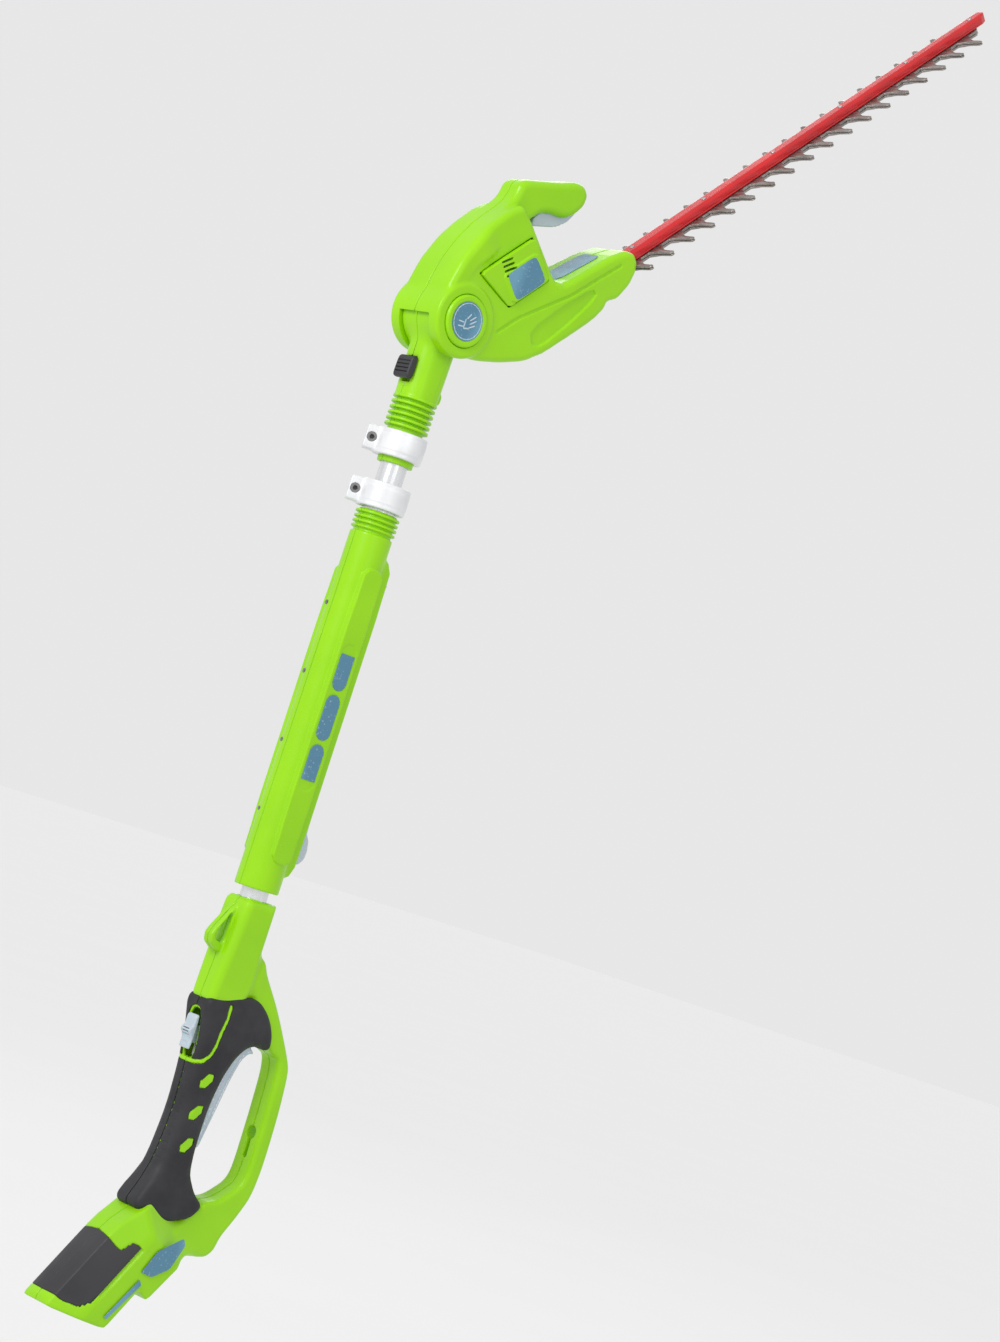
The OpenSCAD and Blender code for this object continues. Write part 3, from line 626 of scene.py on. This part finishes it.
def sleeve_lever():
    s = Space((21, -7, 234), (41, 7, 504), 0.6)
    shape = curve([(25, 236), (25, 500), (28, 502), (31.6, 500), (31.6, 266), (36.8, 259), (38.8, 250),
                   (38, 242), (33, 236)], 2, 0.12)
    d = slab(outline(shape, s.x, s.z), s.y, 5.8, 1.6)
    block = slab(np.maximum(np.abs(s.x - 24.75) - 2.2, np.abs(s.z - 490.5) - 10.4), s.y, 4, 0.4)
    groove = slab(stroke([(32, 290), (32, 485)], s.x, s.z) - 0.7, s.side - 2.6, 0.7, 0.2)
    d = cut(join(d, block), groove, 0.4)
    d = cut(d, disc(s.x - 26.8, s.z - 496, 1.56))
    carve("sleeve_squeeze_lever", s, d, ROW, "sleeve_lever", "grey_plastic", "sleeve_lever")


def collar(name, z0, bore, body):
    s = Space((-35, -25, z0 - 1.5), (25, 30, z0 + 25.5), 0.6)
    middle = z0 + 12
    u = s.x * math.cos(LUG_TURN) + s.y * math.sin(LUG_TURN)
    v = s.y * math.cos(LUG_TURN) - s.x * math.sin(LUG_TURN)
    ring = slab(disc(s.x, s.y, 22.6), s.z - middle, 11.9, 1.4)
    band = slab(disc(s.x, s.y, 23), s.z - middle, 7.2, 0.8)
    lug = slab(np.maximum(np.abs(u + 23.5) - 9.4, np.abs(v) - 9), s.z - middle, 10.8, 1.6)
    d = join(join(ring, band, 0.8), lug, 3)
    step = slab(np.maximum(np.abs(u - 22) - 3, np.abs(v) - 6), s.z - middle, 13, 0.5)
    d = cut(d, np.maximum(step, 21.8 - u), 0.4)
    d = np.maximum(d, -disc(s.x, s.y, bore))
    d = cut(d, np.maximum(np.abs(v) - 0.8, u + 12), 0.3)
    d = np.maximum(d, -disc(u + 27.5, s.z - middle, 2.5))
    d = np.maximum(d, -np.maximum(disc(u + 27.5, s.z - middle, 4.5), v + 5))
    carve(name + "_clamp", s, d, ROW, body, "collar_aluminium", name)


# -------------------------------------------------------------- upper neck
def neck():
    s = Space((-32, -23, 599), (32, 23, 772), 0.75)
    core = slab(disc(s.x, s.y, 16.4), s.z - 644, 43, 0.5)
    ribs = core
    for i in range(6):
        ribs = join(ribs, slab(disc(s.x, s.y, 20.4), s.z - (635.3 + i * 5.2), 1.3, 0.6), 0.8)
    cone = slab(disc(s.x, s.y, 0) - (19.6 + 0.02 * (s.z - 662)), s.z - 694, 32, 1.2)
    flats = np.maximum(s.side - 18.4, np.abs(s.x) - 20.2)
    cone = both(cone, flats, 2.5)
    hub = slab(disc(s.x, s.z - PIVOT_Z, HUB_R), s.y, HUB_HALF, 1.5)
    d = join(join(ribs, cone, 0.8), hub, 6)
    nub = slab(outline(curve([(12, 664), (20.5, 664), (22.4, 667), (22.4, 673), (20, 676), (12, 677)], 1,
                             0.2), s.x, s.z), s.y, 8, 1.8)
    d = join(d, nub, 1.5)
    for side in (-1, 1):
        d = cut(d, slab(stroke([(6, 668), (7.5, 712)], s.x, s.z) - 0.5, s.y - side * 18.8, 1.0, 0.2), 0.8)
    d = both(d, s.side - HUB_HALF)
    d = np.maximum(d, -np.maximum(disc(s.x, s.y, TUBE_R), s.z - 690))
    d = np.maximum(d, -disc(s.x, s.z - PIVOT_Z, 5.06))
    d = np.maximum(d, -slab(disc(s.x, s.z - PIVOT_Z, 22.5), s.y, 3.2))
    d = np.maximum(d, -np.maximum(disc(s.x + 16.3, s.y, 2.4), np.abs(s.z - 708) - 24))
    d = np.maximum(d, -np.maximum(np.maximum(np.abs(s.x + 15.9) - 2.7, s.side - 5.3),
                                  np.abs(s.z - 686.2) - 11.9))
    d = np.maximum(d, -np.maximum(np.maximum(np.abs(s.x + 24.2) - 5.8, s.side - 10.9),
                                  np.abs(s.z - 684.1) - 13.9))
    case_halves("neck", s, d, ROW, "upper_pole", "lime_plastic")


def tilt_button():
    s = Space((-29, -11.5, 674), (-12, 11.5, 699), 0.4)
    shape = curve([(-19, 676), (-25.5, 676), (-27, 679), (-26.4, 694), (-24, 697), (-19, 697)], 2, 0.2)
    d = slab(outline(shape, s.x, s.z), s.y, 10.3, 1.8)
    grooves = slab(np.abs(np.mod(s.z - 676, 3.4) - 1.7) - 0.5, s.y, 8.2, 0.3)
    d = cut(d, np.maximum(grooves, np.maximum(s.x + 25.2, np.abs(s.z - 686.6) - 6.6)), 0.3)
    stem = slab(np.maximum(np.abs(s.x + 16.5) - 2.7, np.abs(s.z - 688) - 7.9), s.y, 4.7, 0.3)
    d = join(d, stem)
    d = cut(d, np.maximum(disc(s.x + 16.3, s.y, 1.8), 686 - s.z))
    carve("tilt_push_button", s, d, ROW, "tilt_lock", "black_plastic", "tilt_button")


# -------------------------------------------------------------------- head
BODY = [(-20, -25), (0, -31), (24, -19), (42, 2), (56, 25), (68, 50), (73, 74), (73.4, 140), (71, 156),
        (67, 163), (71, 177), (67, 196), (60, 208), (52, 213.6), (43, 213.6), (36, 206), (31, 186),
        (25, 112), (-36, 111), (-60, 108), (-63, 90), (-62, 66), (-57, 42), (-49, 20), (-38, 0),
        (-28, -12)]
ARCH = [(-20, -25), (-28, -13), (-38, 0), (-49, 20), (-57, 42), (-62, 66), (-63, 90), (-65, 106),
        (-69, 114), (-74, 121), (-73, 130), (-68, 139), (-52, 167), (-44, 184), (-37, 191), (-27, 191),
        (-20, 183), (-18, 170), (-21, 156), (-32, 144), (-38, 134), (-38.6, 122), (-36, 96), (-34, 60),
        (-33, 36), (-26, 18), (-10, 0)]


def arch_half(s):
    """Half the width of the handle arch, full at the drum and slim at the hook."""
    t = np.clip((s.z - 45) / 75, 0, 1)
    return 30.6 - 15.4 * t * t * (3 - 2 * t)


def nose_half(s):
    """Half the width of the gearbox, which narrows towards the blade."""
    t = np.clip((s.z - 125) / 85, 0, 1)
    return 30.8 - 5 * t * t * (3 - 2 * t)


def head_form(s):
    body_flat = outline(curve(BODY, 2, 0.13), s.x, s.z)
    drop = 3.2 * np.clip(1 - (s.x + 30) / 60, 0, 1) * np.clip((s.z - 20) / 30, 0, 1)
    body = slab(body_flat, s.y, nose_half(s) - drop, 6)
    arch = slab(outline(curve(ARCH, 2, 0.2), s.x, s.z), s.y, arch_half(s), 7)
    drum = slab(disc(s.x, s.z, DRUM_R), s.y, 32.8, 3.5)
    return join(join(body, arch, 1.2), drum, 2.5)


def fork_gap(s, g):
    """The gap between the cheeks in which the neck swings, grown by g."""
    flat = disc(s.x, s.z, 31.1 + g)
    below = np.maximum(np.abs(s.x) - 21 - g, s.z)
    front = np.maximum(np.maximum(-s.x, s.z - 21 - g), -60 - s.z)
    return np.maximum(np.minimum(np.minimum(flat, below), front), s.side - 20.4 - g)


def head_surface(s):
    """The closed outside of the head with its creases and recesses."""
    d = head_form(s)
    near = s.side - nose_half(s)
    crease = slab(outline(curve([(45, 66), (42.5, 112), (46, 150), (54, 152), (61, 112), (64, 72),
                                 (58, 62)], 1, 0.2), s.x, s.z), near, 2.0, 0.5)
    d = cut(d, crease, 1.0)
    upper = slab(stroke([(27, 30), (28, 60), (33, 90), (38.5, 122), (41, 160), (44, 192)], s.x, s.z) - 1.2,
                 near, 1.5, 0.4)
    d = cut(d, upper, 1.2)
    return d


def head():
    s = Space((-78, -34.2, -36), (76, 34.2, 216), 0.9)
    outer = head_surface(s)
    drum_solid = np.maximum(outer, disc(s.x, s.z, 34))
    d = np.minimum(hollow(outer), np.maximum(outer, fork_gap(s, WALL)))
    d = np.minimum(d, drum_solid)
    floor = np.maximum(np.maximum(np.abs(s.x - 30.2) - 1.8, np.abs(s.z - 103) - 43), s.side - 29)
    web = np.maximum(np.maximum(np.abs(s.x - 46.5) - 2.5, np.abs(s.z - 117) - 21), s.side - 29)
    d = np.minimum(d, np.maximum(np.minimum(floor, web), outer))
    d = np.maximum(d, -np.maximum(disc(s.y, s.z - CRANK_Z, 14.05), np.abs(s.x - 46.5) - 3.5))
    d = np.maximum(d, -np.maximum(disc(s.y, s.z - CRANK_Z, 3.1), np.abs(s.x - 31) - 3))
    d = np.maximum(d, -np.maximum(disc(s.y, s.z - 86, 7.4), np.abs(s.x - 27) - 7))
    d = np.maximum(d, -fork_gap(s, 0))
    d = np.maximum(d, -disc(s.x, s.z, 5.05))
    d = cut(d, np.maximum(disc(s.x, s.z, 24.1), 30 - s.side), 0.3)
    mouth = np.maximum(np.maximum(np.abs(s.x - 53.3) - 6.8, s.side - 10.4), np.abs(s.z - 190) - 30)
    d = cut(d, mouth, 0.5)
    d = np.maximum(d, -np.maximum(np.maximum(56.2 - s.x, s.side - nose_half(s) + 3),
                                  np.abs(s.z - 140) - 80))
    window = slab(outline([(-30.2, 33.8), (14.2, 51.8), (14.2, 104.2), (-30.2, 104.2)], s.x, s.z),
                  s.side - 30, 10, 0.1)
    d = cut(d, window, 0.3)
    recess = curve([(-44, 124), (-43, 134), (-34, 162), (-31, 178), (-10, 182), (-10, 150), (-26, 112)], 1,
                   0.1)
    d = cut(d, slab(outline(recess, s.x, s.z), s.y, 8.4, 0.5), 0.5)
    case_halves("head", s, d, HEAD, "head", "lime_plastic")


def motor_covers():
    """The flat doors over the motor, with four slots and a ledge along the foot."""
    for side, name in ((1, "motor_cover_left"), (-1, "motor_cover_right")):
        low, high = (24, 34) if side > 0 else (-34, -24)
        s = Space((-33, low, 30), (17, high, 107), 0.55)
        y = s.y * side
        d = slab(outline(curve([(-29.8, 34.3), (13.8, 52.1), (13.8, 103.8), (-29.8, 103.8)], 1, 0.05), s.x,
                         s.z), y - 29 + 0.02 * (s.x + 8), 2.6, 1.0)
        block = slab(outline(curve([(-18, 56), (12.5, 56), (12.5, 100), (-18, 100)], 1, 0.1), s.x, s.z),
                     y - 30, 2.9, 1.0)
        d = join(d, block, 0.8)
        for i in range(4):
            slot = slab(stroke([(-27.5 + 4.6 * i, 60), (-25.5 + 4.6 * i, 72)], s.x, s.z) - 1.0, y - 30, 8,
                        0.1)
            d = cut(d, slot, 0.3)
        foot = slab(outline([(12.2, 60), (16, 60), (16, 100), (12.2, 100)], s.x, s.z), y - 32, 2.2, 0.2)
        d = cut(d, foot, 0.3)
        carve(name + "_door", s, d, HEAD, "head", "lime_plastic", name)


def pivot_caps():
    for side, name in ((1, "pivot_cap_left"), (-1, "pivot_cap_right")):
        low, high = (29, 36) if side > 0 else (-36, -29)
        s = Space((-25, low, -25), (25, high, 25), 0.5)
        y = s.y * side
        r = np.hypot(s.x, s.z)
        d = slab(r - 23.7 + 0.55 * np.maximum(0, y - 33), y - 32.6, 2.6, 0.8)
        d = cut(d, slab(r - 18.4, y - 35.6, 1.0, 0.2), 0.4)
        carve(name + "_disc", s, d, HEAD, "head", "lime_plastic", name)


def hook_lever():
    s = Space((-42, -9, 118), (-11, 9, 181), 0.5)
    shape = curve([(-31, 121), (-16, 148), (-14, 162), (-16.5, 174), (-22, 178), (-27, 176), (-27.4, 166),
                   (-30, 154), (-38, 138), (-37, 128)], 1, 0.15)
    d = slab(outline(shape, s.x, s.z), s.y, 7.8, 1.8)
    for i in range(7):
        x, z = -23 + i * 1.05, 134.5 + i * 4.4
        d = cut(d, disc(s.x - x - 3.4, s.z - z + 1.6, 1.5), 0.5)
    d = cut(d, disc(s.x + 24.5, s.z - 173, 1.56))
    carve("hook_squeeze_lever", s, d, HEAD, "hook_lever", "grey_plastic", "hook_lever")


def base_plate():
    s = Space((62, -29, 60), (75, 29, 162), 0.7)
    shape = curve([(64.2, 62), (70, 62), (73, 74), (73.4, 140), (70, 158), (64.2, 160)], 1, 0.1)
    d = slab(outline(shape, s.x, s.z), s.y, nose_half(s) - 3.3, 3)
    for z in (84, 104, 124, 144):
        groove = np.maximum(np.maximum(np.abs(s.z - z) - 1.2, s.side - 18), 71.8 - s.x)
        d = cut(d, groove, 0.6)
    d = cut(d, np.maximum(disc(s.y, s.z - CRANK_Z, 3), s.x - 66))
    carve("gearbox_base_plate", s, d, HEAD, "head", "lime_plastic", "gearbox_plate")


# ------------------------------------------------------------ labels by mesh
def plate_mesh(name, points, thick, to_place, bevel=0.25, cuts=0):
    """A flat outline given a thickness and small round edges."""
    bm = bmesh.new()
    ring = [bm.verts.new((u, v, 0)) for u, v in points]
    face = bm.faces.new(ring)
    top = bmesh.ops.extrude_face_region(bm, geom=[face])
    bmesh.ops.translate(bm, verts=[v for v in top["geom"] if isinstance(v, bmesh.types.BMVert)],
                        vec=(0, 0, thick))
    bmesh.ops.recalc_face_normals(bm, faces=bm.faces[:])
    sharp = [e for e in bm.edges if len(e.link_faces) == 2 and e.calc_face_angle() > 0.6]
    bmesh.ops.bevel(bm, geom=sharp, offset=bevel, segments=2, affect="EDGES", profile=0.5)
    for v in bm.verts:
        v.co = Vector(to_place(v.co.x, v.co.y, v.co.z)) * MM
    bmesh.ops.recalc_face_normals(bm, faces=bm.faces[:])
    mesh = bpy.data.meshes.new(name)
    bm.to_mesh(mesh)
    bm.free()
    return mesh


def housing_place(side, height):
    def place(u, v, w):
        x = u * math.cos(LEAN) + v * math.sin(LEAN)
        z = HOUSING_Z - u * math.sin(LEAN) + v * math.cos(LEAN)
        return (x, side * (height + w), z)
    return place


def head_place(side, height):
    def place(u, v, w):
        return tuple(HEAD @ Vector((u, side * (height + w), v)))
    return place


def deck_place(u, v, w):
    lean = math.radians(4.635)
    x = 28.05 + v * math.sin(lean) - w * math.cos(lean)
    return tuple(HEAD @ Vector((x, u, 152 + v * math.cos(lean) + w * math.sin(lean))))


def merged(name, meshes):
    bm = bmesh.new()
    for mesh in meshes:
        bm.from_mesh(mesh)
        bpy.data.meshes.remove(mesh)
    whole = bpy.data.meshes.new(name)
    bm.to_mesh(whole)
    bm.free()
    return whole


def bar_outline(u, v, length, width, turn):
    """A round-ended stripe from (u, v)."""
    along = (math.cos(turn), math.sin(turn))
    across = (-along[1] * width / 2, along[0] * width / 2)
    ends = [(u, v), (u + along[0] * length, v + along[1] * length)]
    box = [(ends[0][0] - across[0], ends[0][1] - across[1]), (ends[1][0] - across[0],
                                                              ends[1][1] - across[1]),
           (ends[1][0] + across[0], ends[1][1] + across[1]), (ends[0][0] + across[0],
                                                              ends[0][1] + across[1])]
    return curve(box, 2, 0.22)


def glove_print():
    """A pale rim and a plain drawing of a gloved hand, raised on each round label."""
    plates = []
    turn = math.radians(47)
    strokes = [(-10, -6, 7, 1.2, 0.1), (-10.5, -1.5, 7, 1.2, 0.0), (-3, -7, 6, 1.3, 0.2),
               (-3, -7, 9, 1.3, 1.5), (2.5, -5.5, 8, 1.3, 0.5), (3, -2, 8.5, 1.3, 0.6),
               (2.5, 1.2, 8, 1.3, 0.7), (-1, 2, 6.5, 1.3, 1.0)]
    for side in (-1, 1):
        for a in range(24):
            angle = a * math.pi / 12
            spot = (16.2 * math.cos(angle), 16.2 * math.sin(angle))
            plates.append(plate_mesh("print", bar_outline(*spot, 4.3, 0.8, angle + math.pi / 2 + 0.13),
                                     0.2, head_place(side, 35.05), 0.05))
        for u, v, length, width, lean in strokes:
            at = (u * math.cos(turn) - v * math.sin(turn), u * math.sin(turn) + v * math.cos(turn))
            plates.append(plate_mesh("print", bar_outline(*at, length, width, lean + turn), 0.2,
                                     head_place(side, 35.05), 0.05))
    return plates


def labels():
    slanted = curve([(-2, -26), (10, -21), (19, -4), (14.5, 20), (8, 23), (-4, -3)], 1, 0.08)
    strip = [(0.5, -76), (4, -76), (7.5, -33), (2.2, -31)]
    plates = []
    for side in (-1, 1):
        for points in (slanted, strip):
            plates.append(plate_mesh("label", points, 0.4, housing_place(side, 31.8), 0.1))
    piece("housing_label_plates", merged("housing_label_plates", plates), "handle", "label_blue",
          "housing_labels")
    door = curve([(-14.5, 60), (-15.5, 64), (-15.5, 93), (-13, 97), (8, 98.5), (11.5, 95), (11.5, 63),
                  (8, 60)], 1, 0.2)
    circle = [(17.6 * math.cos(a * math.pi / 32), 17.6 * math.sin(a * math.pi / 32)) for a in range(64)]
    plates = []
    for side in (-1, 1):
        plates.append(plate_mesh("label", door, 0.4, head_place(side, 32.75), 0.1))
        plates.append(plate_mesh("label", circle, 0.5, head_place(side, 34.6), 0.15))
    piece("head_label_plates", merged("head_label_plates", plates), "head", "label_blue")
    piece("head_label_print", merged("head_label_print", glove_print()), "head", "grey_plastic")
    deck = curve([(-13, -25), (13, -25), (13, 31), (-13, 31)], 2, 0.12)
    piece("deck_label_plate", plate_mesh("deck_label_plate", deck, 0.4, deck_place, 0.1), "head",
          "label_blue", "deck_label")


# ------------------------------------------------------------------- blade
PITCH = 28.7
FIRST_TOOTH = 224
TEETH = 18
BOLTS = [232 + i * 3.5 * PITCH for i in range(6)]


def tooth(i, side):
    z = FIRST_TOOTH + i * PITCH
    shape = [(9.5, -11.6), (14, -9.4), (19, -7.9), (27, -6.8), (32.6, -6), (34, -4), (33.6, -1.6),
             (32, -0.9), (22, -1.4), (17, 0.4), (13, 4.6), (9.5, 6.2)]
    points = [(side * y, z + dz) for y, dz in shape]
    return points if side > 0 else points[::-1]


def blade_outline():
    tail, end = 89, FIRST_TOOTH + (TEETH - 1) * PITCH + 18
    points = [(-21, tail), (21, tail), (21, tail + 54), (9.5, tail + 66)]
    for i in range(TEETH):
        points += tooth(i, 1)
    points += [(9.5, end), (5, end + 7), (-5, end + 7), (-9.5, end)]
    for i in reversed(range(TEETH)):
        points += tooth(i, -1)
    return points + [(-9.5, tail + 66), (-21, tail + 54)]


def blade(name, x0, body, inward):
    """One toothed blade: a flat plate with a yoke window and slots, teeth hollow ground on one face."""
    s = Space((x0 - 0.9, -35, 88), (x0 + 3.3, 35, 745), 0.6)
    flat = outline(blade_outline(), s.y, s.z)
    for z in BOLTS:
        flat = np.maximum(flat, -disc(s.y, np.maximum(np.abs(s.z - z) - 8, 0), 2.8))
    flat = np.maximum(flat, -(np.maximum(np.abs(s.y) - 14, np.abs(s.z - CRANK_Z) - 21)))
    ground = 0.9 * np.clip((np.abs(s.y) - 14) / 8, 0, 1) * np.clip(1 - (-flat) / 3.2, 0, 1)
    outer_face = (s.x - x0 - 1.2) * inward - 1.2 + ground
    inner_face = -(s.x - x0 - 1.2) * inward - 1.2
    d = np.maximum(np.maximum(outer_face, inner_face), flat)
    carve(name + "_plate", s, d, HEAD, body, "blade_steel", name)


def bar():
    """The red blade bar, a C section that tapers to a chamfered tip."""
    s = Space((46, -10, 166), (58, 10, 754), 0.62)
    half = 8.4 - 1.6 * (s.z - 168) / 584
    tip = np.maximum(s.z - 752, (np.abs(s.y) - 4) * 0.94 + (s.z - 752) * 0.35)
    section = slab(s.side - half, s.x - 51.9, 4.9, 1.0)
    top_facet = (s.side - half + 2.6) * 0.70 + (47 - s.x) * 0.71
    d = both(section, top_facet, 0.5)
    d = np.maximum(np.maximum(d, tip), 168 - s.z)
    hole = slab(s.side - half + 2.2, s.x - 51, 2, 0.4)
    d = np.maximum(d, -np.maximum(hole, s.z - 738))
    line = slab(np.abs(s.side - half) - 0.7, s.x - 54.6, 0.35, 0.1)
    d = cut(d, np.maximum(line, s.z - 740), 0.2)
    for z in BOLTS:
        d = np.maximum(d, -disc(s.y, s.z - z, 2.5))
    carve("blade_bar_rail", s, d, HEAD, "head", "bar_red", "blade_bar")


def lathe(bm, profile, matrix, sides=40):
    """A closed turned solid: profile is (radius, height) from one end of the axis to the other."""
    rings = []
    for r, h in profile:
        if r == 0:
            rings.append([bm.verts.new(matrix @ Vector((0, 0, h)) * MM)])
        else:
            rings.append([bm.verts.new(matrix @ Vector((r * math.cos(a), r * math.sin(a), h)) * MM)
                          for a in (2 * math.pi * k / sides for k in range(sides))])
    for low, high in zip(rings, rings[1:]):
        for k in range(sides):
            m = (k + 1) % sides
            corners = ([low[0], high[m], high[k]] if len(low) == 1 else
                       [low[k], low[m], high[0]] if len(high) == 1 else [low[k], low[m], high[m], high[k]])
            bm.faces.new(corners)


def hex_head(bm, matrix, r, h0, h1):
    ends = []
    for h, grow in ((h0, 0.0), (h1 - 0.5, 0.0), (h1, -0.6)):
        ends.append([bm.verts.new(matrix @ Vector(((r + grow) * math.cos(a), (r + grow) * math.sin(a),
                                                   h)) * MM) for a in (math.pi * k / 3 for k in range(6))])
    bm.faces.new(ends[0][::-1])
    bm.faces.new(ends[-1])
    for low, high in zip(ends, ends[1:]):
        for k in range(6):
            bm.faces.new([low[k], low[(k + 1) % 6], high[(k + 1) % 6], high[k]])


def blade_bolts():
    bm = bmesh.new()
    turn = Matrix.Rotation(math.pi / 2, 4, "Y")
    for z in BOLTS:
        place = HEAD @ Matrix.Translation((0, 0, z)) @ turn
        lathe(bm, [(0, 46.5), (2.2, 46.5), (2.5, 46.9), (2.5, 62.5), (5.4, 62.6), (5.6, 62.9), (5.4, 63.4),
                   (0, 63.4)], place)
        hex_head(bm, place, 4.6, 63.4, 65.5)
    bmesh.ops.recalc_face_normals(bm, faces=bm.faces[:])
    mesh = bpy.data.meshes.new("blade_bolt_set")
    bm.to_mesh(mesh)
    bm.free()
    piece("blade_bolt_set", mesh, "head", "part_steel", "blade_bolts")


# ---------------------------------------------------------- what CAD keeps
def finish_cad_nodes():
    """The inner parts and the plain tubes keep their CAD shape and get their slot's finish."""
    slots = {p["node"]: p["material_slot"] for p in frame["record"]["subparts"]}
    for name, obj in frame["nodes"].items():
        material = MATERIALS[slots[name]]
        for holder in obj.material_slots:
            holder.link = "OBJECT"
            holder.material = material


# ------------------------------------------------------------------- scene
def camera():
    data = bpy.data.cameras.new("camera")
    data.sensor_width = 36
    data.lens = 93.9
    data.clip_end = 50
    obj = bpy.data.objects.new("camera", data)
    right = Vector((0.6893, -0.6563, 0.3067))
    up = Vector((-0.2662, 0.1643, 0.9498))
    back = Vector((-0.6738, -0.7364, -0.0614))
    turn = Matrix((right, up, back)).transposed().to_4x4()
    obj.matrix_world = Matrix.Translation((-1.988, -2.389, 0.264)) @ turn
    bpy.context.scene.collection.objects.link(obj)
    bpy.context.scene.camera = obj


def area_light(name, place, size, power, aim=(0.15, 0, 0.55)):
    data = bpy.data.lights.new(name, "AREA")
    data.shape = "RECTANGLE"
    data.size, data.size_y = size
    data.energy = power
    obj = bpy.data.objects.new(name, data)
    obj.location = place
    obj.rotation_euler = (Vector(aim) - Vector(place)).to_track_quat("-Z", "Y").to_euler()
    bpy.context.scene.collection.objects.link(obj)


def studio():
    bm = bmesh.new()
    corners = [bm.verts.new(c) for c in ((-30, -30, -0.26), (30, -30, -0.26), (30, 30, -0.26),
                                         (-30, 30, -0.26))]
    bm.faces.new(corners)
    mesh = bpy.data.meshes.new("floor")
    bm.to_mesh(mesh)
    bm.free()
    mesh.materials.append(floor_material())
    floor = bpy.data.objects.new("floor", mesh)
    bpy.context.scene.collection.objects.link(floor)
    world = bpy.data.worlds.new("studio")
    bpy.context.scene.world = world
    world.use_nodes = True
    sky = world.node_tree.nodes["Background"]
    sky.inputs["Color"].default_value = (1, 1, 1, 1)
    sky.inputs["Strength"].default_value = SKY
    area_light("key", (-2.6, -0.7, 1.9), (1.0, 1.4), 48)
    area_light("fill", (-0.6, -2.8, 1.6), (1.4, 1.8), 7)
    area_light("rim", (1.6, 1.8, 2.2), (1.2, 1.2), 10)
    bpy.context.scene.view_settings.view_transform = "Standard"


camera()
studio()
handle()
trigger()
lockout()
sleeve()
sleeve_labels()
sleeve_lever()
collar("lower_collar", 558, 14.5, "handle")
collar("upper_collar", 606, 16.5, "upper_pole")
neck()
tilt_button()
head()
motor_covers()
pivot_caps()
hook_lever()
base_plate()
labels()
bar()
blade("upper_blade", 57.2, "blade_top", -1)
blade("lower_blade", 60, "blade_bottom", 1)
blade_bolts()
finish_cad_nodes()
